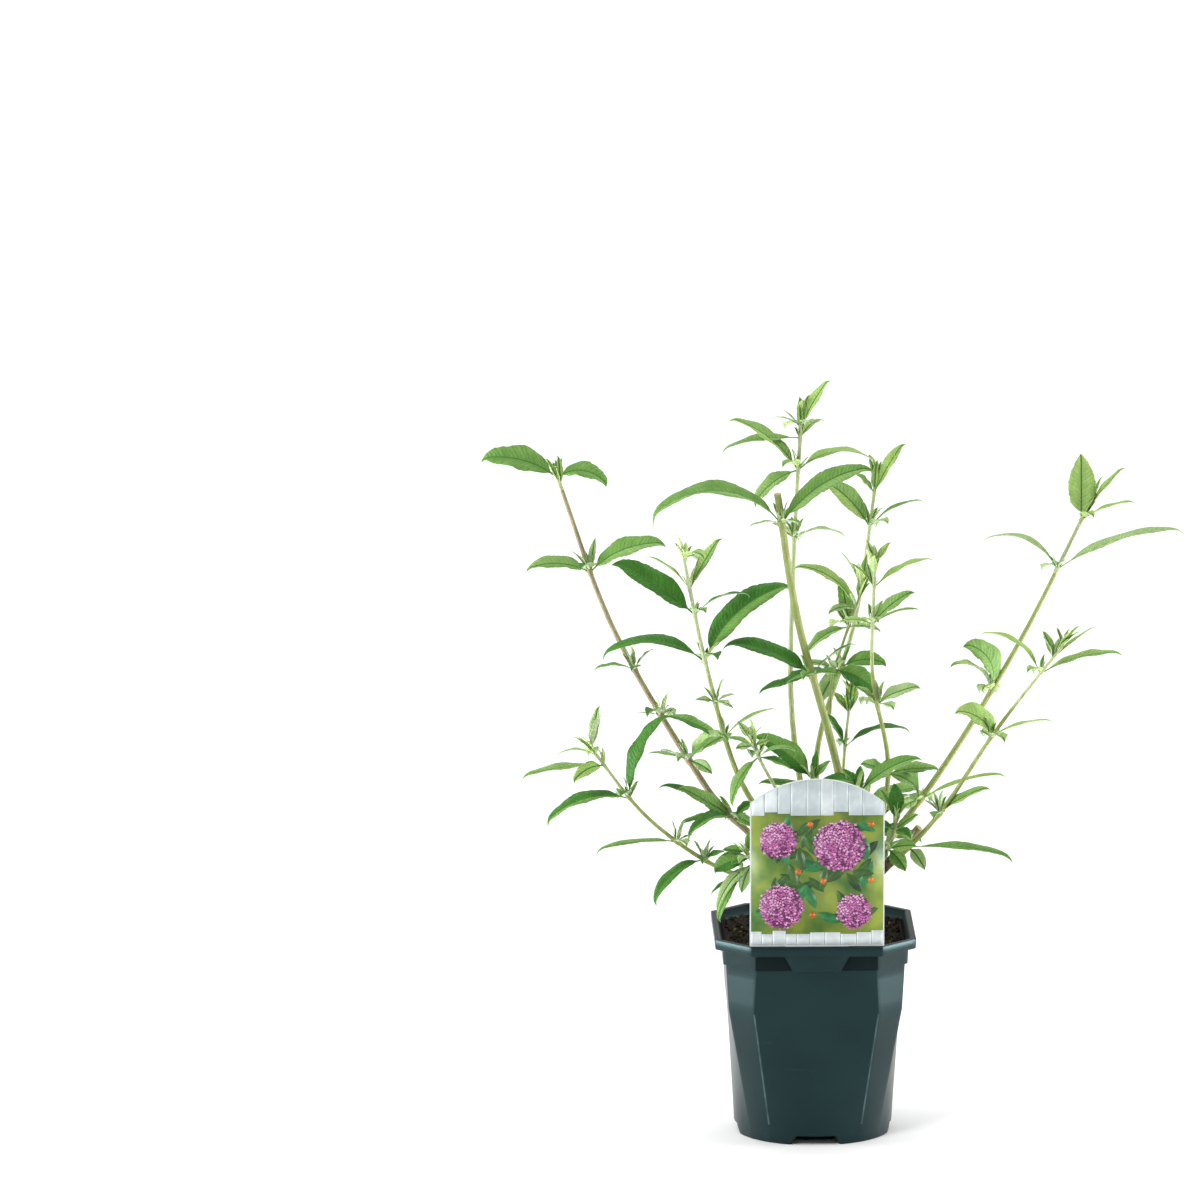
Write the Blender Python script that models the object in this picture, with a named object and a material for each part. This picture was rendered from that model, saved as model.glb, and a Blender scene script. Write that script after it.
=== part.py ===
"""A young butterfly bush in its nursery pot, with a plant label.

The bush is a woody crown whose long stems carry opposite pairs of leaves.
Each stem is a tapering limb, and the leaves on it form masses of their own:
a leafy shoot past the stem's bare end, and a tuft at each lower joint.
Sizes are in millimetres and degrees up to mesh(), which turns them to metres.
+Z is up and -Y is the front, where the label stands.
"""

import math
import random
from typing import NamedTuple

import bmesh
import bpy
from mathutils import Matrix, Vector
from mathutils.bvhtree import BVHTree

MM = 0.001
GAP = 0.3
SEAT = GAP + 0.1
SHARP_ANGLE = 35

# Colours and roughness: plastic, compost, card, old wood, green wood, leaves, cutters
PLASTIC = ((0.030, 0.052, 0.058), 0.38)
PEAT = ((0.024, 0.017, 0.012), 0.95)
CARD = ((0.75, 0.78, 0.80), 0.45)
OLD_WOOD = ((0.16, 0.11, 0.07), 0.9)
GREEN_WOOD = ((0.27, 0.27, 0.12), 0.7)
LEAVES = ((0.16, 0.36, 0.09), 0.6)
TOOL = ((1, 1, 1), 0.5)

# Pot: a square with cut corners at the rim, round at the foot
POT_HEIGHT = 175.8
RIM_HALF = 84.8
RIM_FLAT = 55.0
RIM_LIP = 5.0
RIM_DRAFT = 0.4
RIM_FLAT_INSET = 2.0
BAND_HEIGHT = 8.6
COLLAR_HALF = 78.2
COLLAR_FLAT = 51.5
COLLAR_HEIGHT = 13.8
COLLAR_DRAFT = 0.5
COLLAR_FLAT_INSET = 1.0
BODY_TOP_HALF = 75.4
BODY_TOP_FLAT = 50.4
BODY_WIDE_HEIGHT = 115.0
BODY_WIDE_FLAT = 52.4
FOOT_RADIUS = 66.2
FOOT_FLAT = 38.0
FOOT_HEIGHT = 8.0
BODY_LEVELS = (134, 115, 98, 81, 64, 47, 30, 16)
WALL = 1.8
PLATE_RADIUS = 45.0
PLATE_THICK = 2.0
CHANNEL_HEIGHT = 6.0
CHANNEL_DRAFTS = (0.4, 1.0)
NOTCH_WIDTHS = (38.0, 25.0)
NOTCH_HEIGHT = 5.5
NOTCH_OUT, NOTCH_IN = 3.0, 5.0
DRAIN_RADIUS = 4.5
DRAIN_RING = 54.5
DRAIN_COUNT = 8
DRAIN_SIDES = 8
DRAIN_CUT = 6.0
SIDE_POINTS = 3

# Label: a thin card whose tongue stands in a pocket of the pot's front
TAG_WIDTH = 113.0
TAG_SHOULDER = 299.0
TAG_TOP = 320.0
TAG_THICK = 0.8
TAG_Y = -81.6
TONGUE_TOP = 53.0
TONGUE_FOOT = 38.0
TONGUE_DEPTH = 18.6
POCKET_TOP = 55.5
POCKET_FOOT = 40.0
POCKET_FRONT = -83.7
POCKET_RISE, POCKET_LIFT, POCKET_SINK = 1.0, 0.4, 1.0
NECK_RISE = 1.0
SLOT_OVER = 2.0
ARC_POINTS = 12

# Compost and woody crown
COMPOST_LEVEL = 170.2
COMPOST_DIP = 2.6
COMPOST_CLEAR = 1.2
COMPOST_OVER = 0.4
COMPOST_DRAFT = 0.6
COMPOST_EDGE_DROP = 1.0
COMPOST_FLAT_INSET = 1.6
COMPOST_RINGS = (0.94, 0.78, 0.6, 0.42, 0.24)
COMPOST_FLAT_TOP = 10
COMPOST_LEVELS = (16, 42, 78, 115, 153)
CROWN_FOOT = Vector((14, 3, COMPOST_LEVEL + GAP))
CROWN_HEART = Vector((24, 5, 208))
CROWN_SIZE = Vector((31, 16, 14))
CROWN_FLARE = ((0, 18.0), (5, 14.0), (12, 12.0), (20, 12.0))
CROWN_SLOPES = (-52, -35, -18, 0, 18, 35, 52, 70)
CROWN_SIDES = 20
CROWN_LOBES, CROWN_LOBE_DEPTH = 3, 0.08

# Limbs: sides, the straight run from the foot, and the curve beyond it
LIMB_SIDES = 6
TWIG_SIDES = 5
ROOT_RUN = 4
CURVE_STEPS = 4
LEAST_STEP = 2
NUB_LENGTH = 5.0
NUB_RADIUS = 1.3
TIP_SPACE = 1.5
NUB_SIGHT = 4
BEND_PART = 0.6

# Blades: the parts of the length with a section, the stalk, and the curve of the edge
SHORT_LEAF = 38
LONG_PARTS = (0, 0.15, 0.42, 0.75)
SHORT_PARTS = (0, 0.4, 0.75)
LEAF_STEPS = 40
STALK_PART, STALK_HALF = 0.1, 0.8
BLADE_POWER, BLADE_PEAK = 0.75, 0.303
BLADE_SLIM, BLADE_LEAST = 90, 0.7
BLADE_FOLD = 0.22

random.seed(11)


class Leaf(NamedTuple):
    """One leaf: heading 0 is right, 90 to the back; rise is the slope from root to tip."""

    length: float
    heading: float
    rise: float
    droop: float = 30
    face: float = 0
    width: float = 0.2


class Stem(NamedTuple):
    """A limb from its foot on the crown, through its knots, with leaves at its joints."""

    foot: tuple
    knots: tuple
    girth: tuple
    bare_to: float
    joints: dict


STEMS = {
    "far_left": Stem((-29, 2), ((-66, 8, 265), (-99, 15, 306), (-168, 40, 424), (-215, 60, 552)),
                     (3.0, 1.6), 462, {
        266: (Leaf(74, 186, 27, 35, 15, 0.13), Leaf(60, 196, 33, 15, 45, 0.22),
              Leaf(56, 208, 2, 44, 10, 0.12), Leaf(62, 222, -8, 85, 20, 0.16),
              Leaf(26, -20, 42, 30, 40, 0.34), Leaf(24, -45, -5, 40, 30, 0.34)),
        315: (Leaf(36, 182, 12, 25, 10, 0.14), Leaf(32, 212, 25, 20, 0, 0.12),
              Leaf(18, 190, 62, 10, 20, 0.30), Leaf(38, -8, 28, 55, 40, 0.30),
              Leaf(25, -25, -22, 30, 45, 0.32)),
        352: (Leaf(56, -8, -21, 42, 25, 0.16), Leaf(22, 190, 8, 20, 0, 0.14),
              Leaf(14, -40, 50, 10, 10, 0.30)),
        390: (Leaf(38, 200, 5, 45, 5, 0.18), Leaf(24, 215, 62, 20, 20, 0.26),
              Leaf(26, -10, 48, 30, 10, 0.24)),
        471: (Leaf(58, 185, 3, 50, 30, 0.24), Leaf(74, -10, 22, 52, 40, 0.22),
              Leaf(26, 150, 42, 20, 0, 0.12), Leaf(30, 60, 72, 10, 0, 0.18)),
        552: (Leaf(70, 172, 12, 48, 45, 0.28), Leaf(50, -15, -8, 90, 40, 0.26),
              Leaf(15, 110, 75, 10, 0, 0.20), Leaf(17, 50, 68, 10, 0, 0.20)),
    }),
    "left": Stem((-22, -2), ((-59, -18, 298), (-91, -50, 405), (-113, -90, 513)), (2.6, 1.3), 407, {
        345: (Leaf(34, 190, -25, 60, 20, 0.18), Leaf(28, 5, -18, 40, 20, 0.24),
              Leaf(54, 2, 32, 50, 0, 0.13), Leaf(26, 215, -10, 30, 20, 0.2)),
        377: (Leaf(20, 195, 20, 20, 20, 0.32), Leaf(20, -20, 36, 20, 10, 0.22),
              Leaf(18, -35, 2, 30, 10, 0.24)),
        415: (Leaf(106, 14, 38, 66, 40, 0.19), Leaf(99, 172, 0, 82, 25, 0.12)),
        458: (Leaf(86, 187, 35, 16, 45, 0.24), Leaf(54, -10, 22, 60, 0, 0.12)),
        482: (Leaf(52, 2, 60, 12, 35, 0.17), Leaf(48, 178, 38, 36, 0, 0.13)),
        508: (Leaf(18, 160, 62, 10, 0, 0.18), Leaf(15, 30, 60, 10, 0, 0.20)),
    }),
    "low_left": Stem((-22, -10), ((-71, -25, 227), (-139, -55, 279), (-190, -75, 346)), (2.3, 1.2), 294, {
        223: (Leaf(46, 200, -56, 60, 25, 0.17), Leaf(33, 195, -20, 25, 0, 0.20)),
        240: (Leaf(66, 205, -33, 85, 15, 0.15), Leaf(20, -20, 35, 20, 30, 0.32)),
        258: (Leaf(78, 198, 0, 35, 10, 0.10), Leaf(16, -20, 40, 20, 10, 0.24)),
        300: (Leaf(80, 185, -17, 66, 22, 0.16), Leaf(84, -8, 66, 50, 40, 0.18)),
        330: (Leaf(72, 182, -7, 16, 8, 0.13), Leaf(38, 218, -16, 60, 35, 0.25)),
        339: (Leaf(36, 175, 0, 60, 0, 0.15),),
        346: (Leaf(38, 30, 80, 10, 30, 0.19), Leaf(34, -40, 74, 10, 0, 0.18),
              Leaf(18, 165, 40, 20, 0, 0.14)),
    }),
    "cut": Stem((14, -4), ((14, -22, 338), (-16, -52, 451), (-34, -80, 563)), (3.4, 2.8), 563, {
        399: (Leaf(86, 182, 22, 45, 36, 0.19), Leaf(52, 200, -8, 26, 18, 0.16),
              Leaf(50, -8, 42, 46, 0, 0.13), Leaf(26, -35, 18, 40, 20, 0.28),
              Leaf(36, 225, 4, 60, 20, 0.22)),
        537: (Leaf(134, 188, 3, 106, 22, 0.12), Leaf(98, -8, 34, 56, 50, 0.15),
              Leaf(15, 210, 66, 10, 0, 0.22), Leaf(36, 215, 8, 30, 0, 0.12)),
    }),
    "tall": Stem((-20, 8), ((-17, 30, 347), (-15, 72, 466), (-7, 110, 590)), (2.8, 1.4), 484, {
        492: (Leaf(26, 150, 28, 20, 0, 0.36), Leaf(50, -18, 5, 72, 0, 0.18)),
        548: (Leaf(76, 170, 36, 42, 22, 0.16), Leaf(76, 14, 2, 82, 15, 0.14),
              Leaf(52, 198, -36, 52, 28, 0.22)),
        574: (Leaf(70, 188, -7, 22, 16, 0.15), Leaf(46, 60, 10, 50, 0, 0.16)),
        583: (Leaf(27, 165, 15, 50, 0, 0.14), Leaf(22, 172, 44, 12, 0, 0.14),
              Leaf(48, 0, 60, 12, 30, 0.20)),
        590: (Leaf(20, 120, 84, 6, 0, 0.34), Leaf(19, 290, 80, 6, 0, 0.34)),
    }),
    "back_right": Stem((-10, 10), ((4, 28, 318), (38, 75, 424), (57, 120, 534)), (2.6, 1.3), 488, {
        386: (Leaf(40, 212, -52, 34, 40, 0.28), Leaf(42, -18, 4, 62, 40, 0.28)),
        497: (Leaf(58, 172, 44, 32, 45, 0.26), Leaf(54, 5, 25, 52, 0, 0.11)),
        524: (Leaf(27, 190, 45, 20, 30, 0.32), Leaf(51, 0, 60, 14, 30, 0.20)),
        534: (Leaf(25, 155, 76, 6, 20, 0.24), Leaf(19, 40, 70, 6, 0, 0.22)),
    }),
    "right": Stem((21, -9), ((62, -22, 313), (47, -58, 403), (47, -90, 502)), (2.4, 1.2), 440, {
        310: (Leaf(46, -12, 12, 32, 35, 0.22), Leaf(30, 200, 30, 24, 40, 0.34),
              Leaf(30, -40, -6, 34, 30, 0.30)),
        375: (Leaf(44, -14, 30, 50, 35, 0.24), Leaf(30, 200, 46, 30, 30, 0.22)),
        450: (Leaf(47, -6, 40, 32, 40, 0.20), Leaf(30, 190, 6, 50, 20, 0.20),
              Leaf(46, 12, 14, 52, 0, 0.09)),
        484: (Leaf(58, 4, 25, 42, 12, 0.15), Leaf(30, 178, 46, 30, 10, 0.16)),
        500: (Leaf(28, -10, 62, 10, 20, 0.30), Leaf(26, 150, 74, 10, 0, 0.28)),
    }),
    "far_right": Stem((20, 9), ((114, 22, 312), (178, 45, 414), (233, 62, 521)), (2.9, 1.4), 461, {
        279: (Leaf(80, -8, 19, 36, 5, 0.09), Leaf(54, 196, 46, 66, 40, 0.27),
              Leaf(26, 215, -8, 20, 40, 0.34)),
        370: (Leaf(56, 190, 57, 100, 45, 0.34), Leaf(57, 212, 31, 80, 10, 0.20)),
        470: (Leaf(78, 172, 19, 92, 10, 0.11), Leaf(118, -4, 18, 36, 14, 0.10)),
        511: (Leaf(57, 92, 84, 8, 0, 0.38), Leaf(50, -5, 20, 32, 0, 0.13)),
        519: (Leaf(50, 0, 50, 8, 15, 0.13), Leaf(33, 25, 62, 6, 0, 0.14)),
    }),
    "near_right": Stem((27, -5), ((104, -35, 278), (151, -80, 362), (204, -120, 442)), (2.3, 1.1), 404, {
        246: (Leaf(96, -16, -1, 32, 8, 0.10), Leaf(26, -50, -28, 20, 40, 0.36)),
        279: (Leaf(57, -24, 33, 32, 30, 0.15), Leaf(24, 190, 50, 20, 10, 0.22)),
        353: (Leaf(46, 190, 40, 95, 45, 0.42), Leaf(60, -12, 20, 42, 5, 0.12)),
        414: (Leaf(68, 175, 33, 78, 12, 0.13), Leaf(74, 0, 14, 36, 14, 0.12)),
        429: (Leaf(25, 170, 70, 10, 30, 0.28), Leaf(45, 0, 38, 8, 10, 0.12)),
        440: (Leaf(17, 150, 72, 8, 0, 0.22), Leaf(16, 20, 68, 8, 0, 0.22)),
    }),
    "slender": Stem((4, 11), ((25, 22, 274), (28, 42, 319), (34, 62, 363)), (1.8, 1.0), 312, {
        320: (Leaf(62, -6, 15, 62, 10, 0.17), Leaf(35, 170, 60, 22, 15, 0.22)),
        347: (Leaf(25, 160, 48, 16, 20, 0.30), Leaf(30, 70, 30, 40, 0, 0.2)),
        361: (Leaf(19, 30, 64, 10, 0, 0.2), Leaf(17, 200, 60, 10, 0, 0.2)),
    }),
    "inner_left": Stem((-10, -7), ((-20, -36, 280), (-44, -60, 325), (-56, -68, 352)), (2.0, 1.2), 320, {
        335: (Leaf(50, 205, -58, 50, 20, 0.18), Leaf(30, 0, -20, 26, 20, 0.24),
              Leaf(40, -35, 16, 50, 20, 0.18)),
        345: (Leaf(16, 178, -8, 20, 40, 0.36), Leaf(14, -10, 22, 10, 30, 0.34)),
        352: (Leaf(20, 150, 50, 10, 30, 0.30), Leaf(17, -10, 50, 16, 0, 0.16),
              Leaf(14, 250, 70, 10, 0, 0.26)),
    }),
    "centre": Stem((2, -14), ((2, -25, 262), (-2, -30, 309)), (1.8, 1.3), 0, {
        300: (Leaf(48, 184, 8, 18, 30, 0.14), Leaf(40, -20, 12, 50, 30, 0.26)),
        308: (Leaf(64, 176, 38, 30, 50, 0.28), Leaf(24, 30, 40, 20, 20, 0.30),
              Leaf(20, 215, 50, 10, 20, 0.34), Leaf(26, 60, 72, 12, 0, 0.20)),
    }),
    "centre_right": Stem((9, -12), ((26, -32, 258), (37, -40, 300)), (1.8, 1.3), 0, {
        288: (Leaf(30, 165, 22, 40, 30, 0.30), Leaf(28, -60, -30, 40, 30, 0.32)),
        300: (Leaf(64, -8, 31, 40, 45, 0.18), Leaf(26, 140, 46, 30, 10, 0.3),
              Leaf(24, 80, 66, 10, 0, 0.28)),
    }),
    "low_front_left": Stem((-14, -12), ((-44, -36, 230), (-58, -44, 250)), (1.8, 1.3), 0, {
        238: (Leaf(30, 240, -48, 40, 30, 0.28), Leaf(24, -60, -30, 30, 30, 0.36),
              Leaf(56, 215, -44, 60, 20, 0.18)),
        245: (Leaf(34, 188, -22, 34, 45, 0.42), Leaf(22, 222, -8, 20, 30, 0.34)),
        250: (Leaf(22, 170, 5, 16, 30, 0.3), Leaf(22, 60, 62, 20, 20, 0.3),
              Leaf(20, -50, 30, 20, 20, 0.34)),
    }),
    "low_right": Stem((17, -11.5), ((56, -30, 236), (66, -38, 262), (68, -40, 276)), (1.9, 1.3), 0, {
        249: (Leaf(28, -30, 12, 16, 40, 0.34), Leaf(27, -45, -38, 30, 45, 0.38),
              Leaf(22, 235, -30, 30, 30, 0.38)),
        266: (Leaf(25, -8, 36, 14, 40, 0.30), Leaf(24, 210, 20, 30, 30, 0.36),
              Leaf(26, -60, -5, 30, 30, 0.32)),
        276: (Leaf(32, 110, 84, 6, 0, 0.36), Leaf(30, 160, 62, 30, 20, 0.28),
              Leaf(22, -30, 50, 20, 20, 0.30)),
    }),
}

# A leafy twig that starts on the stem at the back right
FORK_CARRIER, FORK_HEIGHT, FORK_START, FORK_SEAT = "back_right", 350, (-60, 10), GAP + 0.2
FORK = Stem((0, 0), ((17, 38, 381), (27, 37, 414), (42, 33, 457)), (1.5, 1.1), 0, {
    388: (Leaf(46, -18, -27, 46, 45, 0.34), Leaf(26, 178, 12, 40, 20, 0.28)),
    425: (Leaf(45, 150, 78, 12, 40, 0.25), Leaf(46, 196, -30, 50, 25, 0.20),
          Leaf(30, -20, -4, 40, 20, 0.24)),
    441: (Leaf(70, 174, 33, 76, 20, 0.14), Leaf(27, 200, -6, 60, 20, 0.26)),
    456: (Leaf(40, 168, 62, 30, 0, 0.14), Leaf(33, 60, 74, 10, 0, 0.18),
          Leaf(30, 250, 70, 10, 0, 0.18)),
})

# Short shoots from the crown: foot, length, number of leaves, and the seed that deals them
BASAL = {
    "back": ((13, 12.5), 62, 8, 2),
    "back_left": ((-15, 12.5), 58, 8, 1),
}
BASAL_GIRTH = (1.6, 1.0)
BASAL_LIFT = 22
BASAL_LEAF = (34, 54)
BASAL_FAN = (30, 80)
BASAL_RISE, BASAL_DROOP = (-8, 34), (25, 55)
BASAL_FACE, BASAL_WIDTH = (0, 25), (0.26, 0.34)
BASAL_LAST = 0.96

# Leaves to the front and back, which lie along the view in the photograph
SIGHT_SLOPE, SIGHT_SWING = 13, 20
SIGHT_LEAF, SIGHT_DROOP, SIGHT_WIDTH = (36, 54), (20, 45), 0.2
SIGHT_SPACE, SIGHT_LIFT = 34, 2
BACK_LEAVES = 3
FRONTED = {"far_left": (266, 315, 352, 390), "left": (345, 377), "low_left": (240, 258),
           "cut": (399, 537), "right": (375,), "far_right": (279, 370), "near_right": (279, 353)}
BACKED = {"far_left": (266, 352), "far_right": (279, 370), "cut": (399,), "right": (375,),
          "near_right": (353,)}

STUB_FOOT, STUB_TIP, STUB_RADIUS = (27.5, 3.2), (89, -8, 261), 3.3


def mesh(name, bm, colour, roughness, smooth=True):
    """Turns a bmesh in millimetres into a closed object in metres with its material."""
    bmesh.ops.scale(bm, vec=(MM, MM, MM), verts=bm.verts)
    bmesh.ops.recalc_face_normals(bm, faces=bm.faces)
    data = bpy.data.meshes.new(name)
    bm.to_mesh(data)
    bm.free()
    piece = bpy.data.objects.new(name, data)
    bpy.context.scene.collection.objects.link(piece)
    material = bpy.data.materials.new(name)
    material.use_nodes = True
    shader = material.node_tree.nodes["Principled BSDF"]
    shader.inputs["Base Color"].default_value = (*colour, 1)
    shader.inputs["Roughness"].default_value = roughness
    shader.inputs["Metallic"].default_value = 0
    data.materials.append(material)
    if smooth:
        data.shade_smooth()
        data.set_sharp_from_angle(angle=math.radians(SHARP_ANGLE))
    return piece


def apply_modifiers(piece):
    """Keeps the mesh as the modifiers leave it, and removes them."""
    graph = bpy.context.evaluated_depsgraph_get()
    made = bpy.data.meshes.new_from_object(piece.evaluated_get(graph))
    piece.modifiers.clear()
    piece.data = made


def boolean(piece, operation, cutters, solver="EXACT"):
    """Joins or cuts a piece with other objects by one Boolean, then removes them."""
    group = bpy.data.collections.new("group")
    for cutter in cutters:
        group.objects.link(cutter)
    modifier = piece.modifiers.new(operation, "BOOLEAN")
    modifier.operation = operation
    modifier.operand_type = "COLLECTION"
    modifier.collection = group
    modifier.solver = solver
    apply_modifiers(piece)
    for cutter in cutters:
        bpy.data.objects.remove(cutter)
    bpy.data.collections.remove(group)


def loft(bm, rings, close_ends=True):
    """Skins a list of rings of points, with a flat face on the first and last."""
    loops = [[bm.verts.new(point) for point in ring] for ring in rings]
    for one, two in zip(loops, loops[1:]):
        for i in range(len(one)):
            j = (i + 1) % len(one)
            bm.faces.new((one[i], one[j], two[j], two[i]))
    if close_ends:
        bm.faces.new(loops[0][::-1])
        bm.faces.new(loops[-1])


def circle_ring(radius, height, angles):
    """A level circle of points at the given angles."""
    return [Vector((radius * math.cos(a), radius * math.sin(a), height)) for a in angles]


def pot_section(height, middle, flat, corner):
    """One level outline: four flats bulging to `middle`, between creases at (flat, corner)."""
    reach = math.hypot(flat, corner)
    bulge = (middle - corner) / (reach - corner)
    points = []
    for quarter in range(4):
        turn = Matrix.Rotation(quarter * math.pi / 2, 3, "Z")
        for start, end in (((-flat, -corner), (flat, -corner)), ((flat, -corner), (corner, -flat))):
            first, last = Vector(start), Vector(end)
            sweep = first.angle_signed(last)
            for step in range(SIDE_POINTS):
                part = step / SIDE_POINTS
                straight = first.lerp(last, part)
                turned = first.copy()
                turned.rotate(Matrix.Rotation(-sweep * part, 2))
                place = straight.lerp(turned, bulge)
                points.append(turn @ Vector((place.x, place.y, height)))
    return points


def body_section(height, inset=0.0):
    """The pot's body at a height, less the wall where it is the inner face."""
    top = POT_HEIGHT - BAND_HEIGHT - COLLAR_HEIGHT
    middle = FOOT_RADIUS + (BODY_TOP_HALF - FOOT_RADIUS) * height / top
    foot_corner = math.sqrt(FOOT_RADIUS**2 - FOOT_FLAT**2)
    if height >= BODY_WIDE_HEIGHT:
        part = (height - BODY_WIDE_HEIGHT) / (top - BODY_WIDE_HEIGHT)
        flat = BODY_WIDE_FLAT + (BODY_TOP_FLAT - BODY_WIDE_FLAT) * part
        corner = middle
    else:
        part = max(height - FOOT_HEIGHT, 0) / (BODY_WIDE_HEIGHT - FOOT_HEIGHT)
        wide = FOOT_RADIUS + (BODY_TOP_HALF - FOOT_RADIUS) * BODY_WIDE_HEIGHT / top
        flat = FOOT_FLAT + (BODY_WIDE_FLAT - FOOT_FLAT) * part
        corner = foot_corner + (wide - foot_corner) * part
        middle = max(middle, corner)
    shrink = inset * math.tan(math.radians(22.5))
    return pot_section(height, middle - inset, flat - shrink, corner - inset)


def body_heights(low):
    """The levels at which the pot's body has a ring, from its collar down to `low`."""
    top = POT_HEIGHT - BAND_HEIGHT - COLLAR_HEIGHT
    return [top, *(height for height in BODY_LEVELS if height > low + 4), low]


def build_pot():
    """A thin moulded pot with a rim band, a collar, a label pocket and a vented foot."""
    band, collar = POT_HEIGHT - BAND_HEIGHT, POT_HEIGHT - BAND_HEIGHT - COLLAR_HEIGHT
    angles = [math.atan2(p.y, p.x) for p in body_section(0)]
    lip, rim = RIM_HALF - RIM_LIP, RIM_HALF - RIM_DRAFT
    skirt, inside = COLLAR_HALF - COLLAR_DRAFT, COLLAR_HALF - WALL
    foot, plate = FOOT_RADIUS - WALL, PLATE_RADIUS - WALL
    foot_draft, plate_draft = CHANNEL_DRAFTS
    rings = [pot_section(POT_HEIGHT, lip, RIM_FLAT - RIM_FLAT_INSET, lip)]
    rings.append(pot_section(POT_HEIGHT, RIM_HALF, RIM_FLAT, RIM_HALF))
    rings.append(pot_section(band, rim, RIM_FLAT, rim))
    rings.append(pot_section(band, COLLAR_HALF, COLLAR_FLAT, COLLAR_HALF))
    rings.append(pot_section(collar, skirt, COLLAR_FLAT, skirt))
    rings += [body_section(height) for height in body_heights(0)]
    rings.append(circle_ring(foot, 0, angles))
    rings.append(circle_ring(foot - foot_draft, CHANNEL_HEIGHT, angles))
    rings.append(circle_ring(PLATE_RADIUS + plate_draft, CHANNEL_HEIGHT, angles))
    rings.append(circle_ring(PLATE_RADIUS, 0, angles))
    inner = [circle_ring(plate, PLATE_THICK, angles)]
    inner.append(circle_ring(plate + plate_draft, CHANNEL_HEIGHT + WALL, angles))
    inner += [body_section(height, WALL) for height in body_heights(CHANNEL_HEIGHT + WALL)[::-1]]
    inner.append(pot_section(band, inside, COLLAR_FLAT - COLLAR_FLAT_INSET, inside))
    bm = bmesh.new()
    loft(bm, rings + inner, close_ends=False)
    stitch_pot(bm, len(rings), len(rings) + len(inner), len(angles))
    pot = mesh("pot", bm, *PLASTIC)
    boolean(pot, "UNION", [pocket_block()])
    boolean(pot, "DIFFERENCE", [tongue_cutter(), *foot_cutters()])
    return pot


def stitch_pot(bm, outer_count, ring_count, size):
    """Opens the skin between the underside and the floor, caps both and joins rim to wall."""
    bm.verts.ensure_lookup_table()
    loops = [bm.verts[i * size : (i + 1) * size] for i in range(ring_count)]
    under, floor, wall = loops[outer_count - 1], loops[outer_count], loops[-1]
    bridge = [f for f in bm.faces if any(v in under for v in f.verts) and any(v in floor for v in f.verts)]
    bmesh.ops.delete(bm, geom=bridge, context="FACES_ONLY")
    bm.faces.new(under)
    bm.faces.new(floor)
    for i in range(size):
        j = (i + 1) % size
        bm.faces.new((wall[i], wall[j], loops[0][j], loops[0][i]))


def prism(name, outline, near, far, axis):
    """A straight prism of an outline in X and Z along Y, or turned about Z by `axis` degrees."""
    bm = bmesh.new()
    turn = Matrix.Rotation(math.radians(axis), 3, "Z")
    loft(bm, [[turn @ Vector((x, y, z)) for x, z in outline] for y in (near, far)])
    piece = mesh(name, bm, *TOOL, smooth=False)
    piece.hide_render = True
    piece.display_type = "WIRE"
    return piece


def trapezoid(top_width, foot_width, top, foot):
    """The four corners of an upright trapezoid."""
    return [(-foot_width / 2, foot), (foot_width / 2, foot), (top_width / 2, top), (-top_width / 2, top)]


def pocket_block():
    """The moulded pocket that holds the label's tongue, under the rim band's front."""
    band = POT_HEIGHT - BAND_HEIGHT
    shape = trapezoid(POCKET_TOP, POCKET_FOOT, band + POCKET_RISE, band - COLLAR_HEIGHT + POCKET_LIFT)
    return prism("pocket", shape, POCKET_FRONT, POCKET_SINK - COLLAR_HALF, 0)


def tongue_outline(margin):
    """The label's tongue, grown by a margin for its slot."""
    foot = POT_HEIGHT - TONGUE_DEPTH - margin
    waist = POT_HEIGHT - BAND_HEIGHT + NECK_RISE
    half, low = TONGUE_TOP / 2 + margin, TONGUE_FOOT / 2 + margin
    top = POT_HEIGHT + SLOT_OVER
    return [(-low, foot), (low, foot), (half, waist), (half, top), (-half, top), (-half, waist)]


def tongue_cutter():
    """The slot down through the rim into the pocket."""
    reach = TAG_THICK / 2 + GAP
    return prism("slot", tongue_outline(GAP), TAG_Y - reach, TAG_Y + reach, 0)


def foot_cutters():
    """Vents through the foot ring and drain holes through the raised channel."""
    cutters = []
    for side in range(4):
        shape = trapezoid(NOTCH_WIDTHS[1], NOTCH_WIDTHS[0], NOTCH_HEIGHT, -1)
        cutters.append(prism(f"notch_{side}", shape, -FOOT_RADIUS - NOTCH_OUT, NOTCH_IN - FOOT_RADIUS,
                             side * 90))
    for hole in range(DRAIN_COUNT):
        angle = 2 * math.pi * (hole + 0.5) / DRAIN_COUNT
        bm = bmesh.new()
        bmesh.ops.create_cone(
            bm, cap_ends=True, segments=DRAIN_SIDES, radius1=DRAIN_RADIUS, radius2=DRAIN_RADIUS,
            depth=DRAIN_CUT,
            matrix=Matrix.Translation(
                (DRAIN_RING * math.cos(angle), DRAIN_RING * math.sin(angle), CHANNEL_HEIGHT + 1)))
        cutters.append(mesh(f"drain_{hole}", bm, *TOOL, smooth=False))
    return cutters


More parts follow.
